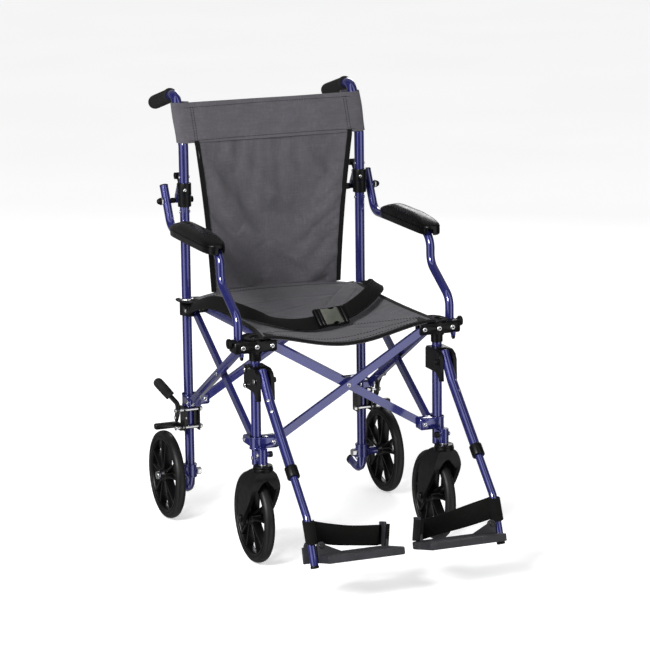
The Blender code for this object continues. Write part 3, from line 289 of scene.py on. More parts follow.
def make_materials():
    paint_material()
    grained_material("black_plastic", (0.0026, 0.0026, 0.0030), 0.34, 1300.0, 0.10, specular=0.22)
    grained_material("black_steel", (0.0045, 0.0045, 0.0045), 0.32, 700.0, 0.10, 0.2, 0.2)
    grained_material("foam_grip", (0.0050, 0.0050, 0.0055), 0.82, 620.0, 0.55)
    grained_material("tyre_rubber", (0.0055, 0.0055, 0.0058), 0.46, 800.0, 0.16)
    grained_material("pad_skin", (0.0024, 0.0024, 0.0024), 0.27, 900.0, 0.05, specular=0.20)
    grained_material("grey_plastic", (0.0220, 0.0220, 0.0260), 0.52, 1100.0, 0.25)
    grained_material("buckle_plastic", (0.0900, 0.0960, 0.0780), 0.45, 1000.0, 0.18)
    cloth_material("seat_cloth", (0.095, 0.091, 0.102), 0.0016, 0, 1, 0.22, 0.10)
    cloth_material("back_cloth", (0.096, 0.091, 0.103), 0.0016, 0, 2, 0.22, 0.10)
    cloth_material("black_webbing", (0.0045, 0.0045, 0.0042), 0.0024, 0, 2, 0.5, 0.02)
    cloth_material("binding_tape", (0.0050, 0.0050, 0.0052), 0.0018, 1, 2, 0.5, 0.03)
    cloth_material("thread", (0.010, 0.010, 0.012), 0.0008, 0, 2, 0.3, 0.1)
    steel_material("steel", (0.70, 0.70, 0.71), 0.24)
    steel_material("zinc", (0.80, 0.80, 0.80), 0.32)


# ---------------------------------------------------------------- solids


def new_object(name, mesh):
    made = bpy.data.objects.new(name, mesh)
    bpy.context.scene.collection.objects.link(made)
    return made


def as_mesh(shape):
    mesh = bpy.data.meshes.new("solid")
    shape.to_mesh(mesh)
    shape.free()
    return mesh


def from_bmesh(shape):
    return new_object("solid", as_mesh(shape))


def skin(shape, loops):
    """Quads between equal closed loops of points, and a face at each end."""
    for one, other in zip(loops, loops[1:]):
        for k in range(len(one)):
            m = (k + 1) % len(one)
            shape.faces.new((one[k], one[m], other[m], other[k]))
    shape.faces.new(loops[0][::-1])
    shape.faces.new(loops[-1])


def box(one, other, bevel=0.0, segments=3):
    low = Vector(map(min, one, other))
    high = Vector(map(max, one, other))
    shape = bmesh.new()
    bmesh.ops.create_cube(shape, size=1.0)
    bmesh.ops.scale(shape, vec=high - low, verts=shape.verts)
    bmesh.ops.translate(shape, vec=(low + high) / 2, verts=shape.verts)
    if bevel:
        bmesh.ops.bevel(
            shape, geom=shape.edges[:], offset=bevel, segments=segments, profile=0.5,
            affect="EDGES",
        )
    return from_bmesh(shape)


def cylinder(start, end, radius, segments=28, end_radius=None, bevel=0.0):
    start, end = Vector(start), Vector(end)
    along = end - start
    shape = bmesh.new()
    turn = along.to_track_quat("Z", "Y").to_matrix().to_4x4()
    bmesh.ops.create_cone(
        shape, cap_ends=True, segments=segments, radius1=radius,
        radius2=radius if end_radius is None else end_radius, depth=along.length,
        matrix=Matrix.Translation((start + end) / 2) @ turn,
    )
    if bevel:
        rims = [
            edge for edge in shape.edges if any(len(face.verts) > 4 for face in edge.link_faces)
        ]
        bmesh.ops.bevel(shape, geom=rims, offset=bevel, segments=3, profile=0.5, affect="EDGES")
    return from_bmesh(shape)


def crosswise(side, start, end, y, z, *details, **options):
    """A cylinder along X: start and end are distances outward from the side frame's middle."""
    spots = [(SIDES[side] * (HALF_WIDTH + out), y, z) for out in (start, end)]
    return cylinder(*spots, *details, **options)


def rounded_path(points, bend, step=math.radians(7)):
    points = [Vector(point) for point in points]
    path = [points[0]]
    for before, corner, after in zip(points, points[1:], points[2:]):
        into = (corner - before).normalized()
        out = (after - corner).normalized()
        turn = into.angle(out)
        if turn < math.radians(2):
            path.append(corner)
            continue
        reach = bend * math.tan(turn / 2)
        start = corner - into * reach
        side = (out - into * into.dot(out)).normalized()
        centre = start + side * bend
        count = max(2, round(turn / step))
        for i in range(count + 1):
            angle = turn * i / count
            path.append(centre - side * bend * math.cos(angle) + into * bend * math.sin(angle))
    path.append(points[-1])
    return path


def tube(points, radius, bend=0.03, sides=24):
    curve = bpy.data.curves.new("solid", "CURVE")
    curve.dimensions = "3D"
    curve.bevel_depth = radius
    curve.bevel_resolution = (sides - 4) // 2
    curve.use_fill_caps = True
    path = rounded_path(points, bend)
    spline = curve.splines.new("POLY")
    spline.points.add(len(path) - 1)
    for spot, point in zip(spline.points, path):
        spot.co = (*point, 1.0)
    return welded(new_object("solid", curve))


def plate(outline, thickness, centre, plane):
    """A flat outline, read as (y, z) or (x, z), as thick as thickness about centre."""
    curve = bpy.data.curves.new("solid", "CURVE")
    curve.dimensions = "2D"
    curve.fill_mode = "BOTH"
    curve.extrude = thickness / 2
    spline = curve.splines.new("POLY")
    spline.points.add(len(outline) - 1)
    spline.use_cyclic_u = True
    for spot, (x, y) in zip(spline.points, outline):
        spot.co = (x, y, 0.0, 1.0)
    made = new_object("solid", curve)
    if plane == "yz":
        axes = ((0, 0, 1, centre), (1, 0, 0, 0), (0, 1, 0, 0), (0, 0, 0, 1))
    else:
        axes = ((1, 0, 0, 0), (0, 0, -1, centre), (0, 1, 0, 0), (0, 0, 0, 1))
    made.matrix_world = Matrix(axes)
    return welded(made)


def smooth_outline(points, rounds=2):
    """An outline with its corners cut again and again, which rounds them."""
    points = [Vector(point) for point in points]
    for _ in range(rounds):
        cut = []
        for one, other in zip(points, points[1:] + points[:1]):
            cut += [one.lerp(other, 0.22), one.lerp(other, 0.78)]
        points = cut
    return [tuple(point) for point in points]


def turned(profile, centre, axis, steps=96):
    """A closed ring profile of (radius, height) points, turned about axis through centre."""
    mesh = bpy.data.meshes.new("solid")
    count = len(profile)
    mesh.from_pydata(
        [(radius, 0.0, height) for radius, height in profile],
        [(i, (i + 1) % count) for i in range(count)],
        [],
    )
    made = new_object("solid", mesh)
    screw = made.modifiers.new("turn", "SCREW")
    screw.steps = steps
    screw.render_steps = steps
    screw.use_merge_vertices = True
    screw.merge_threshold = 0.00001
    turn = Vector(axis).to_track_quat("Z", "Y").to_matrix().to_4x4()
    made.matrix_world = Matrix.Translation(centre) @ turn
    return welded(made)


def evaluated_mesh(source):
    bpy.context.view_layer.update()
    graph = bpy.context.evaluated_depsgraph_get()
    mesh = bpy.data.meshes.new_from_object(source.evaluated_get(graph))
    mesh.transform(source.matrix_world)
    return mesh


def welded(source):
    mesh = evaluated_mesh(source)
    bpy.data.objects.remove(source, do_unlink=True)
    shape = bmesh.new()
    shape.from_mesh(mesh)
    bmesh.ops.remove_doubles(shape, verts=shape.verts, dist=0.00001)
    bmesh.ops.recalc_face_normals(shape, faces=shape.faces)
    bpy.data.meshes.remove(mesh)
    return from_bmesh(shape)


def combined(solids, cuts=(), within=()):
    base = solids[0]
    steps = [("UNION", solid) for solid in solids[1:]]
    steps += [("INTERSECT", limit) for limit in within]
    steps += [("DIFFERENCE", cut) for cut in cuts]
    for operation, other in steps:
        modifier = base.modifiers.new(operation.lower(), "BOOLEAN")
        modifier.operation = operation
        modifier.object = other
        modifier.solver = "EXACT"
    mesh = evaluated_mesh(base)
    for used in [base] + [other for _, other in steps]:
        bpy.data.objects.remove(used, do_unlink=True)
    tidy(mesh)
    return mesh


def tidy(mesh):
    """Joins doubled points and merges flat neighbours, so that edges can be rounded."""
    shape = bmesh.new()
    shape.from_mesh(mesh)
    bmesh.ops.remove_doubles(shape, verts=shape.verts, dist=0.00002)
    bmesh.ops.dissolve_degenerate(shape, edges=shape.edges, dist=0.00002)
    bmesh.ops.dissolve_limit(
        shape, angle_limit=math.radians(0.5), verts=shape.verts, edges=shape.edges,
        delimit={"NORMAL"},
    )
    shape.to_mesh(mesh)
    shape.free()


def joined(solids):
    """Several loose solids as one mesh, without a Boolean."""
    shape = bmesh.new()
    for solid in solids:
        solid.data.transform(solid.matrix_world)
        shape.from_mesh(solid.data)
        bpy.data.objects.remove(solid, do_unlink=True)
    return as_mesh(shape)


def finished(name, material, mesh, stands_for, sharp):
    """A shown piece with its material and its shading, on no body yet."""
    mesh.name = name
    mesh.materials.clear()
    mesh.materials.append(MATERIALS[material])
    mesh.shade_smooth()
    mesh.set_sharp_from_angle(angle=math.radians(sharp))
    made = new_object(name, mesh)
    if stands_for:
        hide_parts(*stands_for)
    return made


def piece(name, body, material, mesh, stands_for=(), bevel=0.0, sharp=40, placed=False):
    """A finished piece on its body, with rounded edges where bevel is given."""
    if not placed:
        mesh.transform(SHIFT)
    made = finished(name, material, mesh, stands_for, sharp)
    if bevel:
        edge = made.modifiers.new("edges", "BEVEL")
        edge.width = bevel
        edge.segments = 2
        edge.limit_method = "ANGLE"
        edge.angle_limit = math.radians(48)
        edge.harden_normals = True
        edge.use_clamp_overlap = True
    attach(made, body)
    return made


def refined(node, material, bevel=0.0007):
    """A CAD node's shape with its flat faces merged and its edges rounded."""
    source = frame["nodes"][node]
    shape = bmesh.new()
    shape.from_mesh(source.data)
    mesh = as_mesh(shape)
    tidy(mesh)
    return piece(
        node + "_finish", source["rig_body"], material, mesh, [node], bevel, placed=True
    )


BOLTS = {}
BOLT_SIDES = 18


def bolt(body, at, direction, radius=0.0054, height=0.0028):
    BOLTS.setdefault(body, []).append((Vector(at), Vector(direction), radius, height))


def make_bolts():
    """Domed socket screws and rivets, one mesh for each body that carries them."""
    for body, spots in BOLTS.items():
        shape = bmesh.new()
        for at, direction, radius, height in spots:
            turn = direction.to_track_quat("Z", "Y").to_matrix().to_4x4()
            place = Matrix.Translation(at - direction * 0.0002) @ turn
            rings = (
                (radius, 0.0), (radius, height * 0.45), (radius * 0.86, height * 0.82),
                (radius * 0.62, height), (radius * 0.42, height), (radius * 0.36, height * 0.35),
            )
            loops = []
            for ring, rise in rings:
                angles = [2 * math.pi * i / BOLT_SIDES for i in range(BOLT_SIDES)]
                loops.append([
                    shape.verts.new(place @ Vector((ring * math.cos(a), ring * math.sin(a), rise)))
                    for a in angles
                ])
            skin(shape, loops)
        piece(body + "_bolts", body, "steel", as_mesh(shape), sharp=35)


# ---------------------------------------------------------------- frame


def scissor_finish():
    for name in ("rear_bar_1", "rear_bar_2", "front_bar_1", "front_bar_2"):
        refined(name, "blue_paint", 0.0026)
    for side in SIDES:
        for bar in ("_bar_1", "_bar_2"):
            refined(side + bar, "blue_paint", 0.0026)


def scissor_bolts():
    """Screws at the sixteen bar ends and rivets at the four crossings."""
    bodies = {
        ("rear", 0): "_rear_post", ("rear", 1): "_rear_hub",
        ("front", 0): "_front_leg", ("front", 1): "_front_hub",
    }
    for side, sign in SIDES.items():
        for (end, high), body in bodies.items():
            z = HIGH_PIVOT_Z if high else LOW_PIVOT_Z
            x, y = sign * HALF_WIDTH, 0.0 if end == "rear" else -DEPTH
            inward_y = -1 if end == "rear" else 1
            for turn in (-1, 1):
                across = (x - sign * PIVOT_OFFSET, y + turn * (FITTING_HALF + 0.0004), z)
                bolt(side + body, across, (0, turn, 0))
                along = (x + turn * (FITTING_HALF + 0.0004), y + inward_y * PIVOT_OFFSET, z)
                bolt(side + body, along, (turn, 0, 0))
        outer = sign * (HALF_WIDTH + 0.0110)
        middle = (outer, -DEPTH / 2, MID_PIVOT_Z)
        bolt(side + "_bar_1", middle, (sign, 0, 0))
    bolt("front_bar_1", (0, -DEPTH - 0.0110, MID_PIVOT_Z), (0, -1, 0))
    bolt("rear_bar_1", (0, -0.0110, MID_PIVOT_Z), (0, -1, 0))


def post_and_leg(side):
    x, sign = SIDES[side] * HALF_WIDTH, SIDES[side]
    post, leg = side + "_rear_post", side + "_front_leg"
    refined(post, "blue_paint", 0.0008)
    refined(side + "_rear_hub", "black_plastic", 0.0012)
    refined(leg, "blue_paint", 0.0008)
    bands = [
        cylinder((x, 0, low), (x, 0, low + 0.0040), 0.0158, 32, bevel=0.0009)
        for low in (0.0900, 0.1165, 0.2600, 0.2840)
    ]
    piece(side + "_post_bands", post, "blue_paint", joined(bands))
    bands = [
        cylinder((x, -DEPTH, low), (x, -DEPTH, low + 0.0040), 0.0158, 32, bevel=0.0009)
        for low in (0.2600, 0.2840)
    ]
    piece(side + "_leg_bands", leg, "blue_paint", joined(bands))
    tip = Vector((x, 0.062, 0.067))
    aim = Vector((0, 0.972, 0.235))
    cap = cylinder(tip - aim * 0.004, tip + aim * 0.005, 0.0122, 24, bevel=0.002)
    piece(side + "_tip_cap", post, "black_plastic", joined([cap]))
    nuts = [
        crosswise(side, -0.0262, -0.0150, 0, WHEEL_RADIUS, 0.0090, 6, bevel=0.0008),
        crosswise(side, 0.0745, 0.0822, 0, WHEEL_RADIUS, 0.0090, 24, bevel=0.0018),
    ]
    piece(side + "_axle_nuts", post, "zinc", joined(nuts))
    washer = cylinder((x, STEM_Y, 0.2322), (x, STEM_Y, 0.2343), 0.0100, 28, bevel=0.0004)
    piece(side + "_stem_washer", leg, "zinc", joined([washer]))
    knob = crosswise(side, -0.0125, -0.0218, STEM_Y, 0.2545, 0.0068, 24, bevel=0.0012)
    piece(side + "_stem_knob", leg, "black_plastic", joined([knob]))
    bolt(leg, (x + sign * 0.0122, STEM_Y, 0.2545), (sign, 0, 0), 0.0046, 0.0024)
    bolt(leg, (x + sign * 0.0108, -DEPTH, 0.2400), (sign, 0, 0), 0.0042, 0.0020)


def front_hub(side):
    """Hub with its screws, ringed release knob and wire hook."""
    x, sign = SIDES[side] * HALF_WIDTH, SIDES[side]
    body = side + "_front_hub"
    refined(body, "black_plastic", 0.0014)
    face = -DEPTH - FITTING_HALF - 0.0004
    for offset in (0.0, sign * 0.0320):
        bolt(body, (x + offset, face, HIGH_PIVOT_Z), (0, -1, 0), 0.0058, 0.0030)
    hook_x = x + sign * 0.035
    low = HIGH_PIVOT_Z - 0.0105
    hook = tube(
        [(hook_x, -DEPTH - 0.004, low + 0.006), (hook_x, -DEPTH - 0.004, low - 0.0100),
         (hook_x, -DEPTH - 0.0165, low - 0.0100), (hook_x, -DEPTH - 0.0165, low + 0.0010)],
        0.0031, 0.006, 14,
    )
    piece(side + "_hook", body, "blue_paint", joined([hook]))
    out = x + sign * 0.0515
    y = -DEPTH + 0.004
    z = HIGH_PIVOT_Z + 0.0085
    rings = [turned(
        [(0.0040, -0.0010), (0.0070, -0.0010), (0.0072, 0.0020), (0.0100, 0.0030), (0.0112, 0.0042),
         (0.0112, 0.0058), (0.0104, 0.0064), (0.0112, 0.0070), (0.0112, 0.0088), (0.0100, 0.0100),
         (0.0078, 0.0108), (0.0040, 0.0112), (0.0008, 0.0112), (0.0008, 0.0020)],
        (out, y, z), (sign, 0, 0), 40,
    )]
    rings.append(crosswise(side, 0.0485, 0.0585, y, z, 0.0040, 20, bevel=0.0008))
    piece(side + "_knob_rings", side + "_release_knob", "black_plastic", joined(rings),
          [side + "_release_knob"])


def seat_corner(side, end):
    """Black corner of the seat: a tab with an eyelet over the post or the hub."""
    x, sign = SIDES[side] * HALF_WIDTH, SIDES[side]
    turn, y = (1, 0.0) if end == "rear" else (-1, -DEPTH)
    outline = [
        (x + sign * 0.024, turn * 0.020), (x + sign * 0.025, turn * -0.020),
        (x + sign * 0.006, turn * -0.046), (x - sign * 0.036, turn * -0.030),
        (x - sign * 0.048, turn * 0.012), (x - sign * 0.010, turn * 0.023),
    ]
    tab = plate(smooth_outline(outline, 3), 0.0022, 0.0, "xz")
    tab.data.transform(Matrix(((1, 0, 0, 0), (0, 0, 1, y), (0, -1, 0, 0.5072), (0, 0, 0, 1))))
    bore = cylinder((x, y, 0.45), (x, y, 0.56), 0.0122 if end == "rear" else 0.0066, 40)
    body = side + ("_rear_hub" if end == "rear" else "_front_hub")
    piece("%s_%s_corner" % (side, end), body, "binding_tape", combined([tab], [bore]), bevel=0.0005)
    inner, outer = (0.0119, 0.0166) if end == "rear" else (0.0074, 0.0126)
    middle = (inner + outer) / 2
    ring = turned(
        [(inner, -0.0004), (inner, 0.0018), (middle, 0.0028), (outer - 0.0006, 0.0018),
         (outer, -0.0004)],
        (x, y, 0.5084), (0, 0, 1), 48,
    )
    metal = "zinc" if end == "rear" else "pad_skin"
    piece("%s_%s_eyelet" % (side, end), body, metal, joined([ring]))


# ---------------------------------------------------------------- back and armrests


def back_frame(side):
    x = SIDES[side] * HALF_WIDTH
    post, body = side + "_rear_post", side + "_cane"
    refined(side + "_back_joint", "black_plastic", 0.0012)
    refined(side + "_cane", "blue_paint", 0.0008).name = side + "_cane_lugs"
    cane = tube([(x, *point) for point in CANE_PATH], 0.0113, 0.030, 28)
    piece(side + "_cane_tube", body, "blue_paint", joined([cane]))
    collar = cylinder((x, 0, 0.7492), (x, 0, 0.7770), 0.0160, 32, bevel=0.0012)
    piece(side + "_cane_sleeve", body, "black_plastic", joined([collar]))
    bolt(body, (x - 0.004, -0.0158, 0.7620), (-0.2, -0.98, 0), 0.0040, 0.0020)
    for turn in (-1, 1):
        bolt(body, (x + turn * 0.0110, 0, 0.7900), (turn, 0, 0), 0.0036, 0.0022)
        bolt(post, (x + turn * 0.0108, 0, 0.7110), (turn, 0, 0), 0.0036, 0.0022)
    refined(side + "_back_latch", "black_plastic", 0.0010)
    y, z = BACK_HINGE
    out = ARM_X - HALF_WIDTH + 0.0104
    nut = crosswise(side, out, out + 0.0034, y, z, 0.0092, 6, bevel=0.0008)
    piece(side + "_arm_nut", post, "zinc", joined([nut]))
    cone = [crosswise(side, out + 0.0034, out + 0.0125, y, z, 0.0078, 20, 0.0044, bevel=0.0009)]
    for i in range(3):
        at = out + 0.0045 + i * 0.0024
        cone.append(crosswise(side, at, at + 0.0010, y, z, 0.0084 - i * 0.0011, 20))
    piece(side + "_arm_knob", post, "black_plastic", joined(cone))
    inner = crosswise(side, -0.0165, -0.0275, y, z, 0.0074, 8, bevel=0.0009)
    piece(side + "_pin_knob", post, "black_plastic", joined([inner]))
    grip(side)


def grip(side):
    """Foam grip with soft rings, a rolled front lip and a domed end."""
    x = SIDES[side] * HALF_WIDTH
    end = Vector((x, *CANE_PATH[3]))
    along = (end - Vector((x, *CANE_PATH[2]))).normalized()
    front = end + along * 0.006 - along * 0.122
    profile = [(0.0116, 0.0), (0.0150, 0.0), (0.0172, 0.0020), (0.0172, 0.0060), (0.0158, 0.0085)]
    for i in range(9):
        at = 0.0120 + i * 0.0105
        profile += [(0.0155, at), (0.0162, at + 0.0030), (0.0162, at + 0.0070)]
        profile.append((0.0155, at + 0.0098))
    profile += [(0.0160, 0.1120), (0.0150, 0.1175), (0.0120, 0.1212), (0.0060, 0.1228),
                (0.0015, 0.1232), (0.0015, 0.1180), (0.0116, 0.1160)]
    foam = joined([turned(profile[::-1], front, along, 48)])
    piece(side + "_grip_foam", side + "_cane", "foam_grip", foam, [side + "_grip"], sharp=60)


def arm_rest(side):
    x, sign = SIDES[side] * ARM_X, SIDES[side]
    body = side + "_arm"
    path = [(x, *point) for point in ARM_PATH]
    arm = tube(path, 0.0096, 0.036, 26)
    piece(side + "_arm_sweep", body, "blue_paint", joined([arm]), [side + "_arm_tube"])
    top = Vector(path[0])
    aim = (top - Vector(path[1])).normalized()
    cap = cylinder(top - aim * 0.0010, top + aim * 0.0028, 0.0099, 26, bevel=0.0016)
    piece(side + "_arm_cap", body, "black_plastic", joined([cap]))
    arm_pad(side, x + sign * 0.0062)


PAD_STATIONS = 30


def arm_pad(side, x):
    """Moulded pad: a straight skirt, a fine flange, and a crown that swells towards the front."""
    rear, front, low, flange = -0.058, -0.3245, 0.6725, 0.6900
    shape = bmesh.new()
    loops = []
    for i in range(PAD_STATIONS + 1):
        t = i / PAD_STATIONS
        s = 0.5 - 0.5 * math.cos(math.pi * t)
        y = rear + (front - rear) * s
        end = max(0.0, 1 - abs(2 * s - 1) ** 9)
        half = 0.0248 * max(0.30, end ** 0.34) * (0.95 + 0.05 * min(1.0, s * 2.5))
        swell = min(1.0, s / 0.30 + 0.14) ** 0.7
        fall = max(0.0, 1 - max(0, s - 0.60) ** 2 * 4.4)
        crown = 0.0215 * swell * fall * end ** 0.5
        ring = [(-0.84, low + 0.0006), (-0.97, low + 0.0020), (-1.0, low + 0.0050),
                (-1.0, flange - 0.0014), (-0.93, flange - 0.0010), (-0.93, flange + 0.0002),
                (-1.03, flange + 0.0006), (-1.0, flange + 0.0024)]
        for k in range(1, 10):
            angle = math.pi * k / 10
            height = flange + 0.0022 + crown * math.sin(angle) ** 0.75
            ring.append((-0.985 * math.cos(angle), height))
        ring += [(-a, b) for a, b in ring[7::-1]]
        loops.append([shape.verts.new((x + a * half, y, b)) for a, b in ring])
    skin(shape, loops)
    bmesh.ops.recalc_face_normals(shape, faces=shape.faces)
    solid = from_bmesh(shape)
    tube_x = SIDES[side] * ARM_X
    channel = box((tube_x - 0.0112, -0.3205, 0.60), (tube_x + 0.0112, 0.0, 0.6888))
    notch = box((tube_x - 0.0060, -0.40, 0.60), (tube_x + 0.0060, -0.32, 0.6868))
    mesh = combined([solid], [channel, notch])
    piece(side + "_pad", side + "_arm", "pad_skin", mesh, [side + "_arm_pad"], sharp=34)


# ---------------------------------------------------------------- wheels


def wheel_meshes():
    """Rim and tyre, built at the origin and turned about X, shared by all four wheels."""
    ring = turned(
        [(0.0872, -0.0088), (0.0848, -0.0098), (0.0822, -0.0096), (0.0806, -0.0080),
         (0.0800, -0.0030), (0.0800, 0.0030), (0.0806, 0.0080), (0.0822, 0.0096),
         (0.0848, 0.0098), (0.0872, 0.0088)],
        (0, 0, 0), (1, 0, 0),
    )
    hub = turned(
        [(0.0060, -0.0178), (0.0118, -0.0178), (0.0132, -0.0168), (0.0136, -0.0120),
         (0.0180, -0.0086), (0.0180, 0.0086), (0.0136, 0.0120), (0.0132, 0.0168),
         (0.0118, 0.0178), (0.0060, 0.0178)],
        (0, 0, 0), (1, 0, 0), 48,
    )
    solids = [ring, hub]
    for pair in range(5):
        for spread_by in (-12.5, 12.5):
            angle = math.pi / 2 + pair * 2 * math.pi / 5 + math.radians(spread_by)
            rib = box((-0.0086, 0.0150, -0.0021), (0.0086, 0.0812, 0.0021), 0.0008, 2)
            for vert in rib.data.vertices:
                if vert.co.y < 0.03:
                    vert.co.x *= 1.20
                    vert.co.z *= 1.25
            rib.data.transform(Matrix.Rotation(angle, 4, "X"))
            solids.append(rib)
    rim = joined(solids)
    profile = [
        (0.0873, -0.0080), (0.0873, 0.0080), (0.0890, 0.0100), (0.0912, 0.0112), (0.0922, 0.0107),
        (0.0932, 0.0113), (0.0960, 0.0110), (0.0985, 0.0094), (0.1003, 0.0066), (0.1013, 0.0034),
        (0.1016, 0.0),
    ]
    profile += [(r, -h) for r, h in profile[9:1:-1]]
    tyre = joined([turned(profile[::-1], (0, 0, 0), (1, 0, 0), 128)])
    return rim, tyre


def wheels():
    rim, tyre = wheel_meshes()
    parts = {"rim": (rim, "black_plastic"), "tyre": (tyre, "tyre_rubber")}
    for side, sign in SIDES.items():
        places = {
            "rear": (sign * REAR_WHEEL_X, 0.0, WHEEL_RADIUS),
            "caster": (sign * HALF_WIDTH, CASTER_Y, WHEEL_RADIUS),
        }
        for kind, place in places.items():
            wheel = side + "_" + kind
            for part, (mesh, material) in parts.items():
                own = mesh.copy()
                own.transform(Matrix.Translation(place))
                node = wheel + "_" + part
                piece(node + "_mould", wheel + "_wheel", material, own, [node], sharp=50)


def caster_fork(side):
    """Fork with sloping shoulders, a round crown cap and domed axle caps."""
    x = SIDES[side] * HALF_WIDTH
    outline = [
        (STEM_Y - 0.0205, 0.2240), (STEM_Y - 0.0245, 0.206), (STEM_Y - 0.0190, 0.178),
        (STEM_Y + 0.0080, 0.140), (CASTER_Y - 0.0170, 0.1076), (CASTER_Y - 0.0120, 0.0886),
        (CASTER_Y, 0.0841), (CASTER_Y + 0.0120, 0.0886), (CASTER_Y + 0.0160, 0.1076),
        (CASTER_Y + 0.0110, 0.150), (STEM_Y + 0.0590, 0.178), (STEM_Y + 0.0430, 0.205),
        (STEM_Y + 0.0205, 0.2240),
    ]
    cheeks = plate(smooth_outline(outline[::-1], 2), 0.0680, x, "yz")
    front = [
        (x - 0.0325, 0.060), (x + 0.0325, 0.060), (x + 0.0338, 0.180), (x + 0.0300, 0.1990),
        (x + 0.0190, 0.2245), (x - 0.0190, 0.2245), (x - 0.0300, 0.1990), (x - 0.0338, 0.180),
    ]
    limit = plate(smooth_outline(front, 2), 0.20, CASTER_Y, "xz")
    room = cylinder((x - 0.0240, CASTER_Y, WHEEL_RADIUS), (x + 0.0240, CASTER_Y, WHEEL_RADIUS),
                    WHEEL_RADIUS + 0.005, 72)
    arch = smooth_outline(
        [(x - 0.0240, 0.020), (x + 0.0240, 0.020), (x + 0.0240, 0.158), (x + 0.0160, 0.190),
         (x, 0.2040), (x - 0.0160, 0.190), (x - 0.0240, 0.158)], 3,
    )
    opening = plate(arch, 0.060, STEM_Y - 0.030, "xz")
    mesh = combined([cheeks], [room, opening], [limit])
    body = side + "_caster_fork"
    piece(side + "_fork_shell", body, "black_plastic", mesh, [body], bevel=0.0018)
    crown = [
        cylinder((x, STEM_Y, 0.2180), (x, STEM_Y, 0.2262), 0.0225, 40, bevel=0.0012),
        cylinder((x, STEM_Y, 0.2250), (x, STEM_Y, 0.2320), 0.0212, 40, bevel=0.0016),
    ]
    piece(side + "_fork_crown", body, "black_plastic", joined(crown))
    caps = []
    for turn in (-1, 1):
        caps.append(cylinder((x + turn * 0.0320, CASTER_Y, WHEEL_RADIUS),
                             (x + turn * 0.0372, CASTER_Y, WHEEL_RADIUS), 0.0088, 24, bevel=0.0016))
    caps.append(cylinder((x - 0.030, CASTER_Y, WHEEL_RADIUS), (x + 0.030, CASTER_Y, WHEEL_RADIUS),
                         0.0057, 20))
    piece(side + "_fork_axle", body, "black_steel", joined(caps))


# ---------------------------------------------------------------- brakes


BRAKE_ROD_Y = -0.0175
LINK_PIVOT_Z = 0.2125
LEVER_PIVOT_Z = 0.2535


def pivot_hole(x, z):
    return cylinder((x - 0.02, BRAKE_ROD_Y, z), (x + 0.02, BRAKE_ROD_Y, z), 0.0034, 24)


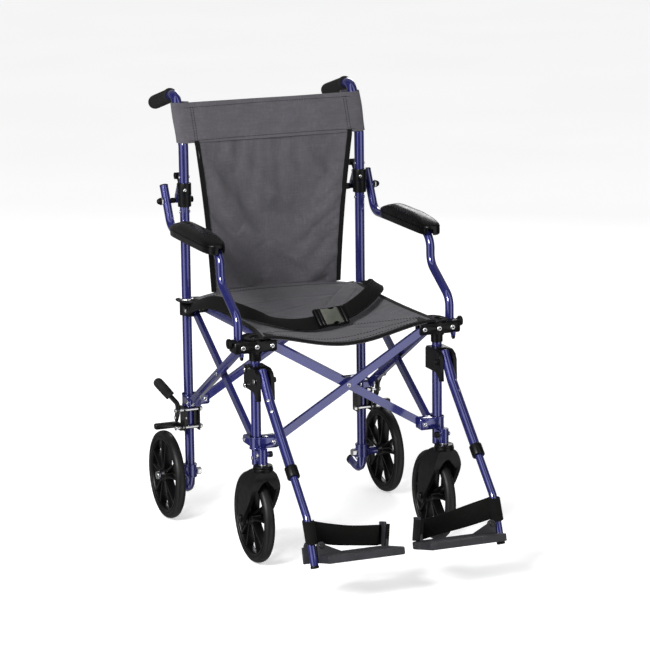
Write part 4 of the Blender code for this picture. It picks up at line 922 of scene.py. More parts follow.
def brake(side):
    """Clamp plates on two long bolts, a curved hand lever, its link plate and the shoe bar."""
    x, sign = SIDES[side] * HALF_WIDTH, SIDES[side]
    post, lever, shoe = side + "_rear_post", side + "_brake_lever", side + "_brake_shoe"
    walls = [box((x - 0.0163, 0.0020, 0.2070), (x + 0.0163, 0.0145, 0.2570))]
    for turn in (-1, 1):
        walls.append(box((x + turn * 0.0072, -0.0132, 0.2070), (x + turn * 0.0163, 0.0060, 0.2570)))
        walls.append(box((x + turn * 0.0159, -0.0225, 0.2035), (x + turn * 0.0191, 0.0075, 0.2595)))
    bore = cylinder((x, 0, 0.18), (x, 0, 0.28), 0.0117, 40)
    piece(side + "_brake_clamp", post, "black_steel", combined(walls, [bore]),
          [side + "_brake_bracket"], bevel=0.0011)
    rods = []
    for z in (LINK_PIVOT_Z, LEVER_PIVOT_Z):
        rods.append(crosswise(side, -0.0250, 0.0395, BRAKE_ROD_Y, z, 0.0031, 16))
        rods.append(crosswise(side, -0.0196, -0.0236, BRAKE_ROD_Y, z, 0.0058, 6, bevel=0.0006))
        bolt(post, (x - sign * 0.0236, BRAKE_ROD_Y, z), (-sign, 0, 0), 0.0050, 0.0026)
        bolt(post, (x + sign * 0.0385, BRAKE_ROD_Y, z), (sign, 0, 0), 0.0052, 0.0030)
    piece(side + "_brake_rods", post, "zinc", joined(rods))
    bolt(post, (x + sign * 0.0120, -0.0132, 0.2330), (0, -1, 0), 0.0030, 0.0016)

    link_x = x + sign * 0.0255
    outline = smooth_outline(
        [(-0.0260, 0.2060), (-0.0260, 0.2190), (-0.0060, 0.2215), (0.0230, 0.2200),
         (0.0250, 0.2050), (0.0000, 0.2035)], 3,
    )
    link_plate = plate(outline, 0.0040, link_x, "yz")
    bar = box((link_x - sign * 0.0015, 0.0080, 0.2058), (sign * 0.2945, 0.0225, 0.2200), 0.0046, 4)
    mesh = combined([link_plate, bar], [pivot_hole(link_x, LINK_PIVOT_Z)])
    piece(shoe + "_bar", shoe, "black_steel", mesh, [shoe], bevel=0.0008)
    bolt(shoe, (x + sign * 0.0275, 0.0150, 0.2125), (sign, 0, 0), 0.0044, 0.0022)

    lever_x = x + sign * 0.0330
    outline = smooth_outline(
        [(-0.0250, 0.2480), (-0.0245, 0.2600), (-0.0110, 0.2600), (-0.0020, 0.2430),
         (0.0020, 0.2290), (-0.0080, 0.2240), (-0.0150, 0.2330)], 3,
    )
    blade = plate(outline, 0.0048, lever_x, "yz")
    start = Vector((x + sign * 0.0491, -0.0090, 0.2896))
    end = Vector((x + sign * 0.0724, 0.0080, 0.3206))
    along = (end - start).normalized()
    start -= along * 0.0035
    foot = (lever_x, -0.0180, 0.2560)
    bend = (lever_x + sign * 0.0010, -0.0185, 0.2700)
    rod = tube([foot, bend, start + along * 0.004], 0.0056, 0.014, 18)
    mesh = combined([blade, rod], [pivot_hole(lever_x, LEVER_PIVOT_Z)])
    piece(lever + "_rod", lever, "black_steel", mesh, [lever], bevel=0.0006)
    bolt(lever, (lever_x + sign * 0.0024, -0.0060, 0.2345), (sign, 0, 0), 0.0044, 0.0022)
    size = (end - start).length + 0.0060
    profile = [(0.0048, 0.0), (0.0098, 0.0), (0.0110, 0.0012), (0.0112, 0.006), (0.0108, 0.0070),
               (0.0108, 0.0078), (0.0114, 0.0088), (0.0116, size - 0.014), (0.0112, size - 0.008),
               (0.0096, size - 0.0038), (0.0066, size - 0.0008), (0.0030, size + 0.0006),
               (0.0008, size + 0.0009), (0.0008, size - 0.010)]
    handle = turned(profile[::-1], start, along, 36)
    piece(side + "_brake_grip", lever, "foam_grip", joined([handle]), sharp=60)


# ---------------------------------------------------------------- footrests


def footrest(side):
    x, sign = SIDES[side] * HALF_WIDTH, SIDES[side]
    leg, swing = side + "_front_leg", side + "_footrest"
    refined(side + "_footrest_clamp", "black_plastic", 0.0020)
    for z in (0.4370, 0.4025):
        bolt(leg, (x + sign * 0.0220, -0.4235, z), (sign, 0, 0), 0.0058, 0.0032)
    bolt(leg, (x + sign * 0.0218, -0.4785, 0.422), (sign, 0, 0), 0.0056, 0.0026)
    knob = crosswise(side, -0.0200, -0.0250, -0.4785, 0.422, 0.0052, 20, bevel=0.0014)
    piece(side + "_hanger_knob", leg, "zinc", joined([knob]))

    top, bend, end = [Vector((x, *point)) for point in FOOTREST_PATH]
    along = (end - bend).normalized()
    outer = tube([top, bend, end], 0.0109, 0.050, 30)
    hollow = cylinder(bend + along * 0.03, end + along * 0.03, 0.0093, 28)
    cuts = [hollow]
    rear = Vector((0, -along.z, along.y))
    for i in range(4):
        at = bend + along * (0.088 + i * 0.0215)
        cuts.append(cylinder(at + rear * 0.0125 - Vector((0.02, 0, 0)),
                             at + rear * 0.0125 + Vector((0.02, 0, 0)), 0.0042, 20))
    piece(side + "_footrest_sweep", swing, "blue_paint", combined([outer], cuts),
          [side + "_footrest_tube"], sharp=34)
    dome = cylinder(top - (bend - top).normalized() * 0.0032, top, 0.0082, 28, 0.0106, bevel=0.0018)
    piece(side + "_footrest_dome", swing, "blue_paint", joined([dome]))
    front = -rear
    face = (front * 0.85 + Vector((sign * 0.50, 0, 0))).normalized()
    for share in (0.001, 0.029):
        bolt(swing, bend + along * share + rear * 0.0014 + face * 0.0104, face, 0.0042, 0.0022)
    collar = cylinder(end - along * 0.0240, end + along * 0.0026, 0.0140, 32, bevel=0.0014)
    mesh = combined([collar], [cylinder(end - along * 0.05, end + along * 0.05, 0.0098, 28)])
    piece(side + "_footrest_collar", swing, "black_plastic", mesh, sharp=34)

    extension = side + "_footrest_extension"
    inner = tube([(x, *point) for point in EXTENSION_PATH], 0.0086, 0.040, 26)
    piece(side + "_extension_sweep", extension, "blue_paint", joined([inner]), [extension])
    foot = Vector((x, *EXTENSION_PATH[2]))
    aim = (foot - Vector((x, *EXTENSION_PATH[1]))).normalized()
    plug = cylinder(foot - aim * 0.0015, foot + aim * 0.0045, 0.0092, 26, bevel=0.002)
    piece(side + "_extension_plug", extension, "black_plastic", joined([plug]))
    footplate(side)


def plate_frame(side):
    sign = SIDES[side]
    axis = Vector((0, math.cos(PLATE_PITCH), -math.sin(PLATE_PITCH)))
    up = Vector((0, math.sin(PLATE_PITCH), math.cos(PLATE_PITCH)))
    return Matrix((
        (-sign, axis.x, up.x, sign * HALF_WIDTH),
        (0, axis.y, up.y, PLATE_PIN[0]),
        (0, axis.z, up.z, PLATE_PIN[1]),
        (0, 0, 0, 1),
    ))


def on_plate(side, mesh):
    """Moves a mesh from the footplate's own axes to its place, and turns a mirrored one out."""
    place = plate_frame(side)
    mesh.transform(place)
    if place.determinant() < 0:
        mesh.flip_normals()


def footplate(side):
    """Footplate with a ribbed tread, hinge ears, a gusset and the strap post."""
    reach = PLATE_REACH
    deck = box((0.0105, -0.062, -0.0370), (reach, 0.042, -0.0200), 0.0035, 3)
    solids = [deck]
    solids.append(box((-0.0150, 0.0150, -0.0365), (0.0180, 0.0210, -0.0010), 0.0012, 1))
    solids.append(cylinder((0.0, 0.0150, 0.0), (0.0, 0.0210, 0.0), 0.0102, 28, bevel=0.0010))
    solids.append(box((0.0096, -0.0110, -0.0365), (0.0340, -0.0040, -0.0020), 0.0012, 1))
    solids.append(cylinder((0.0180, -0.0110, -0.001), (0.0180, -0.0040, -0.001), 0.0094, 28,
                           bevel=0.0010))
    gusset = box((0.0150, -0.0110, -0.030), (0.072, -0.0040, -0.0202), 0.0006, 1)
    for vert in gusset.data.vertices:
        if vert.co.z > -0.025 and vert.co.x < 0.05:
            vert.co.z = 0.0060
    solids.append(gusset)
    solids.append(box((reach - 0.0130, 0.008, -0.022), (reach - 0.0070, 0.038, 0.032), 0.0016, 2))
    step = box((0.070, -0.0645, -0.0366), (reach - 0.002, -0.0560, -0.0215), 0.0020, 2)
    solids.append(step)
    solids.append(box((0.0105, -0.0630, -0.0366), (0.0720, -0.0560, -0.0205), 0.0016, 2))
    for i in range(9):
        at = -0.052 + i * 0.0105
        solids.append(box((0.040, at, -0.0206), (reach - 0.016, at + 0.0040, -0.0190), 0.0006, 1))
    mesh = combined(solids)
    on_plate(side, mesh)
    body = side + "_footplate"
    piece(side + "_footplate_mould", body, "grey_plastic", mesh, [body], sharp=34)
    pin = cylinder((0, -0.0060, 0), (0, 0.0232, 0), 0.0031, 20)
    ends = [cylinder((0, 0.0206, 0), (0, 0.0238, 0), 0.0058, 24, bevel=0.0008), pin]
    ends.append(cylinder((0.0180, -0.0134, -0.001), (0.0180, -0.0104, -0.001), 0.0054, 24,
                         bevel=0.0012))
    mesh = joined(ends)
    on_plate(side, mesh)
    piece(side + "_plate_pin", body, "black_steel", mesh)


# ---------------------------------------------------------------- cloth


def grid_object(place, columns, rows):
    """An open sheet of quads: place(u, v) for u and v from 0 to 1."""
    shape = bmesh.new()
    grid = [
        [shape.verts.new(place(i / columns, j / rows)) for i in range(columns + 1)]
        for j in range(rows + 1)
    ]
    for below, above in zip(grid, grid[1:]):
        for i in range(columns):
            shape.faces.new((below[i], below[i + 1], above[i + 1], above[i]))
    return from_bmesh(shape)


def relaxed(sheet, pinned, growth, pull, limit):
    """The sheet after its cloth has settled: slack shows as soft wrinkles between the pins."""
    rest = [vert.co.copy() for vert in sheet.data.vertices]
    group = sheet.vertex_groups.new(name="held")
    for i, point in enumerate(rest):
        group.add([i], pinned(point), "REPLACE")
    cloth = sheet.modifiers.new("cloth", "CLOTH")
    settings = cloth.settings
    settings.vertex_group_mass = "held"
    settings.quality = 6
    settings.mass = 0.25
    settings.tension_stiffness = 18
    settings.compression_stiffness = 8
    settings.shear_stiffness = 6
    settings.bending_stiffness = 0.35
    settings.shrink_min = -growth
    settings.effector_weights.gravity = pull
    cloth.collision_settings.use_collision = False
    scene = bpy.context.scene
    cloth.point_cache.frame_start = 1
    cloth.point_cache.frame_end = 20
    for step in range(1, 21):
        scene.frame_set(step)
    mesh = evaluated_mesh(sheet)
    scene.frame_set(1)
    bpy.data.objects.remove(sheet, do_unlink=True)
    for vert, start in zip(mesh.vertices, rest):
        moved = vert.co - start
        if moved.length > limit:
            vert.co = start + moved * (limit / moved.length)
    return new_object("solid", mesh)


def thick(sheet, thickness, smooth=1, fold=None):
    """A sheet's mesh, smoothed, with its fine folds pressed in, and then given its thickness."""
    soft = sheet.modifiers.new("smooth", "SUBSURF")
    soft.levels = smooth
    soft.render_levels = smooth
    soft.boundary_smooth = "PRESERVE_CORNERS"
    mesh = evaluated_mesh(sheet)
    bpy.data.objects.remove(sheet, do_unlink=True)
    if fold:
        for vert in mesh.vertices:
            vert.co += fold(vert.co)
    sheet = new_object("solid", mesh)
    solid = sheet.modifiers.new("thickness", "SOLIDIFY")
    solid.thickness = thickness
    solid.offset = 0.0
    mesh = evaluated_mesh(sheet)
    bpy.data.objects.remove(sheet, do_unlink=True)
    return mesh


def cut_in_two(mesh, place, normal):
    """The two open halves of a mesh either side of a plane."""
    halves = []
    for outer, inner in ((True, False), (False, True)):
        shape = bmesh.new()
        shape.from_mesh(mesh)
        bmesh.ops.bisect_plane(
            shape, geom=shape.verts[:] + shape.edges[:] + shape.faces[:], plane_co=place,
            plane_no=normal, clear_outer=outer, clear_inner=inner,
        )
        halves.append(as_mesh(shape))
    return halves


def soft(*details, **options):
    """A piece of fabric or webbing, given its own copy of its mesh."""
    made = piece(*details, **options)
    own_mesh(made)


def eased(value):
    value = min(1.0, max(0.0, value))
    return value * value * (3 - 2 * value)


def seat_height(x, y):
    """Taut along the sides, hanging between them in front, and rising to meet the back behind."""
    run = (y - SEAT_FRONT) / (SEAT_REAR - SEAT_FRONT)
    hang = max(0.0, 1 - (x / SEAT_HALF) ** 2)
    corner = (2 * run - 1) ** 4 * min(1.0, abs(x) / SEAT_HALF) ** 6
    rear = eased((run - 0.42) / 0.58)
    sag = SEAT_SAG * (1 - rear) * hang ** 1.7
    return SEAT_EDGE_Z - sag + 0.0130 * rear ** 2 * hang - 0.0040 * corner


def seat_edge_x(y):
    run = (y - SEAT_FRONT) / (SEAT_REAR - SEAT_FRONT)
    return SEAT_HALF - 0.006 + 0.016 * abs(2 * run - 1) ** 3


SEAT_CREASES = (
    ((-0.186, -0.024), (0.186, -0.022), -0.0018), ((-0.195, -0.114), (-0.008, -0.086), 0.0018),
    ((-0.008, -0.086), (0.140, -0.094), -0.0014), ((-0.172, -0.186), (0.028, -0.125), -0.0016),
    ((0.030, -0.113), (0.104, -0.101), 0.0014), ((0.059, -0.041), (0.145, -0.030), -0.0012),
    ((0.040, -0.175), (0.165, -0.032), -0.0022), ((0.100, -0.170), (0.196, -0.052), -0.0020),
    ((-0.140, -0.306), (-0.160, -0.430), -0.0014), ((-0.126, -0.322), (-0.020, -0.336), -0.0014),
    ((-0.150, -0.250), (-0.020, -0.200), 0.0016), ((0.060, -0.316), (0.108, -0.373), -0.0016),
    ((0.108, -0.373), (0.170, -0.415), -0.0016), ((-0.080, -0.160), (0.080, -0.215), 0.0012),
)


def creases(place, lines, width):
    """Height of narrow folds: each runs from one end to the other and fades at both."""
    height = 0.0
    for one, other, depth in lines:
        one, other = Vector(one), Vector(other)
        along = other - one
        share = (place - one).dot(along) / along.length_squared
        if 0.0 < share < 1.0:
            off = (place - one - along * share).length
            height += depth * math.sin(math.pi * share) ** 0.5 * math.exp(-((off / width) ** 2))
    return height


def seat_point(u, v):
    y = SEAT_FRONT + (SEAT_REAR - SEAT_FRONT) * v
    bow = 0.008 * (1 - abs(2 * u - 1) ** 2)
    y += bow * (1 - v) ** 6 + 0.5 * bow * v ** 6
    x = seat_edge_x(y) * (2 * u - 1)
    wave = 0.0010 * math.sin(9 * u + 5 * v) * math.sin(math.pi * u)
    return Vector((x, y, seat_height(x, y) + wave))


def surface_finder(mesh, way, lift=0.0004):
    """Moves a point along way on to the mesh's face, and a hair above it."""
    cover = BVHTree.FromPolygons(
        [vert.co for vert in mesh.vertices], [face.vertices[:] for face in mesh.polygons]
    )

    def land(place):
        hit = cover.ray_cast(place - way * 0.08, way)[0]
        return (hit if hit else place) - way * lift

    return land


def strip_mesh(points, outs, ups, widths, thickness, lip=0.35, edge=0.94):
    """A flat band along points: each cross-section is a rounded rectangle, as wide as its width."""
    shape = bmesh.new()
    loops = []
    side = [(-1.0, -lip), (-edge, -1.0), (edge, -1.0), (1.0, -lip)]
    corner = side + [(a, -b) for a, b in side[::-1]]
    if isinstance(widths, float):
        widths = [widths] * len(points)
    for point, out, up, width in zip(points, outs, ups, widths):
        loops.append([
            shape.verts.new(point + out * (a * width / 2) + up * (b * thickness / 2))
            for a, b in corner
        ])
    skin(shape, loops)
    bmesh.ops.recalc_face_normals(shape, faces=shape.faces)
    return as_mesh(shape)


def stitch_mesh(points, ups, length=0.0038, gap=0.0022, radius=0.0007):
    """A row of short thread stitches that follows points, lying on the cloth."""
    lengths = [0.0]
    for one, other in zip(points, points[1:]):
        lengths.append(lengths[-1] + (other - one).length)

    def spot(distance):
        k = 1
        while k < len(lengths) - 1 and lengths[k] < distance:
            k += 1
        share = (distance - lengths[k - 1]) / max(1e-9, lengths[k] - lengths[k - 1])
        return points[k - 1].lerp(points[k], share), ups[k - 1].lerp(ups[k], share)

    shape = bmesh.new()
    at = 0.0
    while at + length < lengths[-1]:
        start, up = spot(at)
        end, _ = spot(at + length)
        along = (end - start).normalized()
        aside = along.cross(up).normalized() * radius
        rise = up.normalized() * radius
        loops = []
        for share, size in ((0.0, 0.35), (0.2, 1.0), (0.8, 1.0), (1.0, 0.35)):
            middle = start.lerp(end, share)
            ring = (aside, rise * 1.3, -aside, -rise)
            loops.append([shape.verts.new(middle + side * size) for side in ring])
        skin(shape, loops)
        at += length + gap
    bmesh.ops.recalc_face_normals(shape, faces=shape.faces)
    return as_mesh(shape)


UP = Vector((0, 0, 1))
FORWARD = Vector((0, -1, 0))


def stitches(name, body, *details):
    soft(name, body, "thread", stitch_mesh(*details))


def seat():
    """Seat sling, hemmed at the front and bound in tape along both sides."""
    sheet = grid_object(seat_point, 44, 46)

    def held(point):
        beside = abs(point.x) > seat_edge_x(point.y) - 0.012
        return 1.0 if beside or point.y > SEAT_REAR - 0.012 else 0.05

    sheet = relaxed(sheet, held, 0.010, 0.12, 0.004)
    settled = thick(
        sheet, 0.0026, 2, lambda p: Vector((0, 0, creases(p.xy, SEAT_CREASES, 0.0030)))
    )
    land = surface_finder(settled, -UP)

    def on_seat(x, y):
        return land(Vector((x, y, seat_height(x, y))))

    front, rear = cut_in_two(settled, (0, SEAT_SPLIT, 0), (0, 1, 0))
    soft("seat_rear", "right_rear_hub", "seat_cloth", rear, ["seat_sling"], sharp=80)
    soft("seat_front", "right_front_hub", "seat_cloth", front, sharp=80)
    points = [seat_point(0.02 + 0.96 * i / 60, 0.004) for i in range(61)]
    tape = strip_mesh(points, [FORWARD] * 61, [UP] * 61, 0.0085, 0.0056)
    soft("seat_front_tape", "right_front_hub", "binding_tape", tape, sharp=60)
    rows = (
        [(-0.185, -0.425), (-0.049, -0.409), (0.028, -0.408), (0.101, -0.412), (0.185, -0.428)],
        [(-0.185, -0.405), (-0.049, -0.379), (0.028, -0.377), (0.101, -0.386), (0.186, -0.404)],
        [(0.186, -0.404), (0.128, -0.350), (0.070, -0.298), (0.020, -0.262)],
        [(-0.186, -0.404), (-0.128, -0.350), (-0.070, -0.298), (-0.020, -0.262)],
    )
    for k, corners_of_row in enumerate(rows):
        flat = rounded_path([(x, y, 0) for x, y in corners_of_row], 0.15)
        row = []
        for one, other in zip(flat, flat[1:]):
            steps = max(1, round((other - one).length / 0.004))
            row += [one.lerp(other, i / steps) for i in range(steps)]
        row = [on_seat(p.x, p.y) for p in row]
        stitches("seat_stitch_%d" % k, "right_front_hub", row, [UP] * len(row), 0.0042, 0.0030)
    row = [on_seat(-0.180 + 0.36 * i / 90, -0.0215) for i in range(91)]
    stitches("seat_rear_stitch", "right_rear_hub", row, [UP] * 91, 0.0042, 0.0030)
    for side, sign in SIDES.items():
        for part, body, low, high in (
            ("front", "right_front_hub", 0.0, 0.524), ("rear", "right_rear_hub", 0.524, 1.0)
        ):
            points, outs, ups = [], [], []
            for i in range(25):
                v = low + (high - low) * i / 24
                u = 0.5 + sign * 0.492
                point = seat_point(u, v)
                tilt = seat_point(u, v) - seat_point(0.5 + sign * 0.46, v)
                out = tilt.normalized()
                points.append(point)
                outs.append(out)
                ups.append(Vector((-out.z, 0, out.x)) * sign)
            tape = strip_mesh(points, outs, ups, 0.0095, 0.0052)
            soft(side + "_seat_tape_" + part, body, "binding_tape", tape, sharp=60)


def cane_y(z):
    (y0, z0), (y1, z1) = CANE_PATH[1:3]
    return 0.0 if z < z0 else y0 + (y1 - y0) * (z - z0) / (z1 - z0)


def panel_half(z):
    rise = (z - PANEL_BOTTOM_Z) / (BAND_BOTTOM - PANEL_BOTTOM_Z)
    return PANEL_BOTTOM_HALF + (PANEL_TOP_HALF - PANEL_BOTTOM_HALF) * rise - 0.004 * math.sin(
        math.pi * min(1.0, rise)
    )


def panel_y(x, z):
    half = max(0.1, panel_half(min(z, BAND_BOTTOM)))
    belly = 0.018 * max(0.0, 1 - (x / half) ** 2)
    rise = (z - PANEL_BOTTOM_Z) / (BACK_TOP - PANEL_BOTTOM_Z)
    return cane_y(z) - 0.0140 + belly * math.sin(math.pi * min(1.0, 0.12 + rise * 0.88)) ** 0.8


BACK_CREASES = (
    ((-0.188, 0.862), (-0.030, 0.620), 0.0100), ((-0.130, 0.864), (0.090, 0.660), 0.0070),
    ((-0.080, 0.660), (0.148, 0.524), 0.0120), ((0.000, 0.720), (0.160, 0.600), -0.0080),
    ((-0.150, 0.700), (-0.010, 0.550), -0.0080), ((0.050, 0.862), (0.165, 0.720), 0.0080),
    ((-0.150, 0.620), (-0.040, 0.524), 0.0070), ((-0.160, 0.780), (-0.080, 0.640), 0.0060),
)


def panel_point(u, v):
    z = PANEL_BOTTOM_Z + (0.905 - PANEL_BOTTOM_Z) * v
    half = panel_half(min(z, BAND_BOTTOM))
    x = half * (2 * u - 1)
    z -= 0.005 * (1 - (2 * u - 1) ** 2) * (1 - v) ** 4
    drape = 0.0012 * math.sin(13 * (u - v) + 1.0) * math.sin(math.pi * u) * (1 - v)
    return Vector((x, panel_y(x, z) + 0.0022 * v + drape, z))


def band_path(z):
    """Plan of the top band at height z: round one cane, across the front, round the other."""
    y = cane_y(z)
    slack = 1.0 + 0.05 * math.sin(70 * z)
    ring = []
    for i in range(13):
        angle = math.pi * 0.5 + math.pi * i / 12
        reach = SLEEVE_RADIUS * slack * (1.0 + 0.04 * math.sin(2.3 * angle + 40 * z))
        ring.append((-HALF_WIDTH + reach * math.cos(angle), y + reach * math.sin(angle)))
    start = [(-0.186, y + 0.0040), (-0.196, y + 0.0105), (-0.206, y + SLEEVE_RADIUS * 0.96)]
    across = []
    for i in range(1, 40):
        x = -HALF_WIDTH + 2 * HALF_WIDTH * i / 40
        sink = 0.010 * (1 - (x / HALF_WIDTH) ** 2)
        pleat = 0.0008 * math.sin(36 * x + 55 * z) * (1 - (x / HALF_WIDTH) ** 4)
        dip = 0.0016 * math.exp(-((abs(x) - 0.187) / 0.004) ** 2)
        across.append((x, y - SLEEVE_RADIUS - 0.0016 + sink + pleat + dip))
    half = start + ring
    mirror = [(-x, spot) for x, spot in half[::-1]]
    return half + across + mirror


def back():
    """Back sling: a panel bound in tape, under a band whose ends are sleeves for the canes."""
    sheet = grid_object(panel_point, 46, 58)

    def held(point):
        edge = panel_half(min(point.z, BAND_BOTTOM)) - abs(point.x)
        low_corner = point.z < PANEL_BOTTOM_Z + 0.012 and edge < 0.03
        return 1.0 if point.z > 0.866 or low_corner or edge < 0.006 else 0.02

    sheet = relaxed(sheet, held, 0.020, 0.10, 0.009)
    settled = thick(
        sheet, 0.0022, 1, lambda p: Vector((0, -creases(p.xz, BACK_CREASES, 0.017), 0))
    )
    low, high = cut_in_two(settled, (0, 0, BACK_HINGE[1]), (0, 0, 1))
    soft("back_low", "right_rear_post", "back_cloth", low, sharp=80)
    soft("back_high", "right_cane", "back_cloth", high, ["back_sling"], sharp=80)
    rows = 26
    heights = [BAND_BOTTOM + (BACK_TOP - BAND_BOTTOM) * j / rows for j in range(rows + 1)]
    paths = [band_path(z) for z in heights]
    columns = len(paths[0]) - 1
    band = grid_object(
        lambda u, v: Vector((
            *paths[round(v * rows)][round(u * columns)],
            heights[round(v * rows)] + 0.0015 * math.sin(7 * u + 0.6),
        )),
        columns, rows,
    )
    band = thick(band, 0.0026, 1)
    land = surface_finder(band, Vector((0, 1, 0)))
    soft("back_band", "right_cane", "back_cloth", band, sharp=80)
    back_trim(heights, land)


def back_trim(heights, land):
    """Hems, stitch rows and edge tape of the back sling."""

    def on_band(x, z):
        return land(Vector((x, cane_y(z) - SLEEVE_RADIUS, z)))

    rows = {"band_low": (BAND_BOTTOM + 0.006, 0.205), "band_top": (BACK_TOP - 0.010, 0.205)}
    for name, (z, half) in rows.items():
        row = [on_band(-half + 2 * half * i / 90, z) for i in range(91)]
        stitches(name + "_stitch", "right_cane", row, [FORWARD] * 91)
    for side, sign in SIDES.items():
        for k, x in enumerate((0.184, 0.190)):
            low, run = heights[0] + 0.003, heights[-1] - heights[0] - 0.006
            row = [on_band(sign * x, low + run * i / 20) for i in range(21)]
            stitches(side + "_band_stitch_%d" % k, "right_cane", row, [FORWARD] * 21)
        for part, body, low, high in (
            ("low", "right_rear_post", PANEL_BOTTOM_Z + 0.001, BACK_HINGE[1]),
            ("high", "right_cane", BACK_HINGE[1], 0.872),
        ):
            points = []
            for i in range(25):
                z = low + (high - low) * i / 24
                x = sign * (panel_half(z) - 0.0015)
                points.append(Vector((x, panel_y(x, z), z)))
            outs = [Vector((sign, 0, 0))] * 25
            tape = strip_mesh(points, outs, [FORWARD] * 25, 0.0110, 0.0052)
            soft(side + "_back_tape_" + part, body, "binding_tape", tape, sharp=60)
    points = [panel_point(0.02 + 0.96 * i / 40, 0.012) for i in range(41)]
    hem = strip_mesh(points, [UP] * 41, [FORWARD] * 41, 0.014, 0.0046)
    soft("back_hem", "right_rear_post", "back_cloth", hem, sharp=60)
    row = [point + FORWARD * 0.0028 + UP * 0.003 for point in points]
    stitches("back_hem_stitch", "right_rear_post", row, [FORWARD] * 41)


BELT_PATH = (
    (-0.236, -0.012), (-0.231, -0.080), (-0.215, -0.155), (-0.190, -0.232), (-0.150, -0.288),
    (-0.095, -0.307), (-0.030, -0.312), (0.028, -0.304), (0.085, -0.288), (0.140, -0.250),
    (0.186, -0.198), (0.212, -0.140), (0.230, -0.075), (0.236, -0.012),
)
BUCKLE_AT = (0.021, -0.304)


def along_belt(t):
    points = [Vector(point) for point in BELT_PATH]
    place = t * (len(points) - 1)
    i = min(int(place), len(points) - 2)
    f = place - i
    p0, p1 = points[max(i - 1, 0)], points[i]
    p2, p3 = points[i + 1], points[min(i + 2, len(points) - 1)]
    return 0.5 * (
        2 * p1 + (p2 - p0) * f + (2 * p0 - 5 * p1 + 4 * p2 - p3) * f * f
        + (3 * p1 - p0 - 3 * p2 + p3) * f ** 3
    )


def belt():
    """Webbing that stands on its lower edge across the seat and leans back, with its buckle."""
    points, outs, ups = [], [], []
    for i in range(113):
        t = i / 112
        spot = along_belt(t)
        heading = (along_belt(min(1.0, t + 0.01)) - along_belt(max(0.0, t - 0.01))).normalized()
        inward = Vector((-heading.y, heading.x, 0))
        lean = math.radians(
            40 + 34 * math.exp(-(((t - 0.33) / 0.13) ** 2))
            + 24 * math.exp(-(((t - 0.88) / 0.08) ** 2))
        )
        out = inward * math.sin(lean) + UP * math.cos(lean)
        foot = seat_height(spot.x, spot.y) + 0.0030 + 0.0020 * math.sin(15 * t) ** 2
        foot += 0.012 * eased((t - 0.44) / 0.20) - 0.036 * (1 - eased(min(t, 1 - t) / 0.17))
        points.append(Vector((spot.x, spot.y, foot)) + out * 0.0185)
        outs.append(out)
        ups.append(Vector((heading.x, heading.y, 0)).cross(out))
    web = strip_mesh(points, outs, ups, 0.0370, 0.0022)
    soft("belt_web", "right_rear_hub", "black_webbing", web, ["lap_belt"], sharp=60)
    for k, shift in enumerate((-0.0160, 0.0160)):
        row = [p + o * shift + u * 0.0013 for p, o, u in zip(points, outs, ups)]
        stitches("belt_stitch_%d" % k, "right_rear_hub", row, ups, 0.004, 0.004, 0.0004)
    near = min(range(len(points)), key=lambda k: (points[k].xy - Vector(BUCKLE_AT)).length)
    buckle(points[near], outs[near], ups[near])


def buckle(at, out, up):
    """Side-release buckle: black end bars, grey-green socket with a thumb notch on each edge."""
    along = out.cross(up)
    place = Matrix((
        (along.x, out.x, up.x, at.x + up.x * 0.0068),
        (along.y, out.y, up.y, at.y + up.y * 0.0068),
        (along.z, out.z, up.z, at.z + up.z * 0.0068),
        (0, 0, 0, 1),
    ))
    if up.y > 0:
        place = place @ Matrix.Rotation(math.pi, 4, "X")
    body = box((-0.0230, -0.0205, -0.0050), (0.0225, 0.0205, 0.0050), 0.0022, 3)
    notches = [
        cylinder((0.005, s * 0.0275, -0.02), (0.005, s * 0.0275, 0.02), 0.0120, 36)
        for s in (-1, 1)
    ]
    socket = combined([body], notches)
    bars = []
    for low, high in ((-0.0400, -0.0312), (-0.0306, -0.0220), (0.0212, 0.0296), (0.0302, 0.0390)):
        bars.append(box((low, -0.0228, -0.0056), (high, 0.0228, 0.0056), 0.0028, 3))
    prongs = [
        box((-0.024, s * 0.0150 - 0.0026, -0.0030), (0.024, s * 0.0150 + 0.0026, 0.0030), 0.0014, 2)
        for s in (-1, 1)
    ]
    rails = [
        box((-0.0395, s * 0.0218 - 0.0014, -0.0040), (0.0385, s * 0.0218 + 0.0014, 0.0018),
            0.0010, 1)
        for s in (-1, 1)
    ]
    for name, material, mesh, stands_for in (
        ("buckle_socket", "buckle_plastic", socket, ["belt_buckle"]),
        ("buckle_bars", "black_plastic", joined(bars + rails), []),
        ("buckle_prongs", "black_plastic", joined(prongs), []),
    ):
        mesh.transform(place)
        soft(name, "right_rear_hub", material, mesh, stands_for, sharp=34)


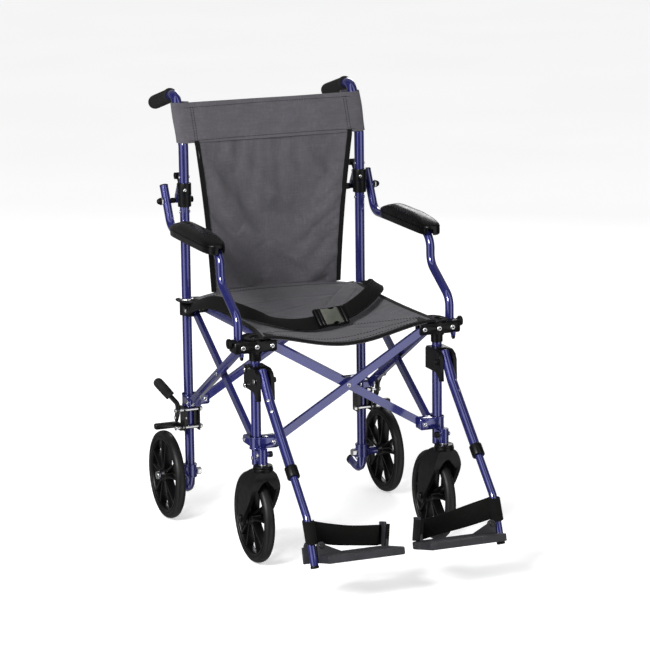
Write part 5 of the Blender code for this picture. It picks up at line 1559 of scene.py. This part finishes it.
def heel_strap(side):
    """Wide strap looped round the extension tube and the footplate's post."""
    sign = SIDES[side]
    x = sign * HALF_WIDTH
    frame_side = plate_frame(side)
    post = frame_side @ Vector((PLATE_REACH - 0.0100, 0.023, 0.004))
    tube_at = Vector((x, -0.7330, 0.1530))
    count = 34
    points = []
    for i in range(15):
        angle = math.radians(176 + 280 * i / 14)
        turn = Vector((sign * math.cos(angle), math.sin(angle), 0))
        points.append(tube_at + turn * 0.0116)
    start = points[-1].copy()
    end = post + Vector((sign * 0.0075, 0.0, 0.0))
    for i in range(1, count):
        t = i / count
        sag = math.sin(math.pi * t)
        point = start.lerp(end, t)
        points.append(point + Vector((0, 0.026 * sag, -0.012 * sag)))
    for dx, dy in ((0.004, 0.016), (-0.004, 0.018), (-0.0065, 0.010), (-0.0065, -0.010),
                   (-0.004, -0.0175), (0.004, -0.0165)):
        points.append(post + Vector((sign * dx, dy, -dy * 0.24)))
    total = len(points)
    outs, ups = [], []
    for i in range(total):
        along = points[min(total - 1, i + 1)] - points[max(0, i - 1)]
        along.z = 0
        along.normalize()
        tilt = 0.42 - 0.58 * eased((i - 16) / 22)
        outs.append(Vector((0, tilt, 1)).normalized())
        ups.append(Vector((-along.y, along.x, 0)))
    widths = [0.050 - 0.004 * math.sin(math.pi * i / total) for i in range(total)]
    mesh = strip_mesh(points, outs, ups, widths, 0.0022, 0.4, 0.96)
    mesh.transform(SHIFT)
    made = finished(side + "_heel_web", "black_webbing", mesh, [side + "_heel_strap"], 60)
    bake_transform(made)


# ---------------------------------------------------------------- studio


def studio():
    floor = box((-12, -12, -0.02), (12, 12, 0.0))
    floor.name = "floor"
    made = bpy.data.materials.new("floor")
    made.use_nodes = True
    tree = made.node_tree
    shader = tree.nodes["Principled BSDF"]
    coords = tree.nodes.new("ShaderNodeTexCoord").outputs["Object"]
    cloud = noise_node(tree, coords, 1.2, 2.0)
    pale = mixed(tree, spread(tree, cloud, 0.0, 1.0), (0.88, 0.88, 0.88), (0.91, 0.91, 0.91))
    link(tree, pale, shader.inputs["Base Color"])
    shader.inputs["Specular IOR Level"].default_value = 0.0
    shader.inputs["Roughness"].default_value = 0.9
    shader.inputs["Emission Color"].default_value = (1.0, 1.0, 1.0, 1.0)
    shader.inputs["Emission Strength"].default_value = 0.44
    seen = tree.nodes.new("ShaderNodeNewGeometry").outputs["Incoming"]
    glow = tree.nodes.new("ShaderNodeEmission")
    way = vector_node(tree, "SCALE", seen, -1.0)
    link(tree, mirror_light(tree, way), glow.inputs["Color"])
    mix = tree.nodes.new("ShaderNodeMixShader")
    rays = tree.nodes.new("ShaderNodeLightPath")
    link(tree, rays.outputs["Is Glossy Ray"], mix.inputs[0])
    link(tree, shader.outputs[0], mix.inputs[1])
    link(tree, glow.outputs[0], mix.inputs[2])
    link(tree, mix.outputs[0], tree.nodes["Material Output"].inputs["Surface"])
    floor.data.materials.append(made)
    studio_world()
    area("key", (-2.2, -2.2, 2.1), (0, -0.2, 0.6), 0.9, 0.9, 115)
    area("rim", (1.6, 2.4, 1.9), (0, 0, 0.6), 1.2, 1.2, 20)


AWAY = (0.380, 0.925, 0.0)
MIRROR_STOPS = (
    (0.00, 0.03), (0.04, 0.04), (0.09, 1.25), (0.28, 1.25), (0.36, 0.06), (0.70, 0.05),
    (0.92, 0.24), (1.00, 0.26),
)


def mirror_light(tree, way):
    """What a mirror sees in a direction: dark, but for two tall soft boxes and a pale far side."""
    level = vector_node(tree, "MULTIPLY", way, (1.0, 1.0, 0.0))
    unit = vector_node(tree, "NORMALIZE", level)
    facing = vector_node(tree, "DOT_PRODUCT", unit, AWAY, "Value")
    ramp = tree.nodes.new("ShaderNodeValToRGB")
    points = ramp.color_ramp.elements
    while len(points) < len(MIRROR_STOPS):
        points.new(0.5)
    for point, (place, glow) in zip(points, MIRROR_STOPS):
        point.position = place
        point.color = (glow, glow, glow, 1.0)
    link(tree, spread(tree, facing, 0.0, 1.0, -1.0, 1.0), ramp.inputs["Fac"])
    return ramp.outputs["Color"]


def studio_world():
    """White to look at, even for soft light, and mostly dark in mirrors."""
    world = bpy.data.worlds.new("studio")
    world.use_nodes = True
    bpy.context.scene.world = world
    tree = world.node_tree
    glow = mirror_light(tree, tree.nodes.new("ShaderNodeTexCoord").outputs["Generated"])
    rays = tree.nodes.new("ShaderNodeLightPath")
    shades = []
    for colour in ((0.52, 0.52, 0.52, 1.0), (1.0, 1.0, 1.0, 1.0), glow):
        shade = tree.nodes.new("ShaderNodeBackground")
        if isinstance(colour, tuple):
            shade.inputs["Color"].default_value = colour
        else:
            link(tree, colour, shade.inputs["Color"])
        shades.append(shade.outputs[0])
    for kind, shade in (("Is Glossy Ray", shades[2]), ("Is Camera Ray", shades[1])):
        mix = tree.nodes.new("ShaderNodeMixShader")
        link(tree, rays.outputs[kind], mix.inputs[0])
        link(tree, shades[0], mix.inputs[1])
        link(tree, shade, mix.inputs[2])
        shades[0] = mix.outputs[0]
    link(tree, shades[0], tree.nodes["World Output"].inputs["Surface"])


def area(name, place, target, width, height, power):
    data = bpy.data.lights.new(name, "AREA")
    data.shape = "RECTANGLE"
    data.size = width
    data.size_y = height
    data.energy = power
    made = bpy.data.objects.new(name, data)
    made.location = SHIFT @ Vector(place)
    made.visible_camera = False
    made.rotation_mode = "QUATERNION"
    made.rotation_quaternion = (Vector(target) - Vector(place)).to_track_quat("-Z", "Y")
    bpy.context.scene.collection.objects.link(made)


def camera():
    data = bpy.data.cameras.new("camera")
    data.lens = 172.0
    data.sensor_width = 36.0
    made = bpy.data.objects.new("camera", data)
    place = Vector((-2.545, -6.520, 1.991))
    made.location = SHIFT @ place
    aim = Vector((0.0369, -0.215, 0.4671)) - place
    roll = Matrix.Rotation(math.radians(-0.654), 4, "Z").to_quaternion()
    made.rotation_mode = "QUATERNION"
    made.rotation_quaternion = aim.to_track_quat("-Z", "Y") @ roll
    bpy.context.scene.collection.objects.link(made)
    bpy.context.scene.camera = made
    bpy.context.scene.view_settings.view_transform = "Standard"


def build():
    make_materials()
    scissor_finish()
    scissor_bolts()
    wheels()
    for side in SIDES:
        post_and_leg(side)
        front_hub(side)
        seat_corner(side, "rear")
        seat_corner(side, "front")
        back_frame(side)
        arm_rest(side)
        caster_fork(side)
        brake(side)
        footrest(side)
        heel_strap(side)
    make_bolts()
    seat()
    back()
    belt()
    studio()
    camera()


build()
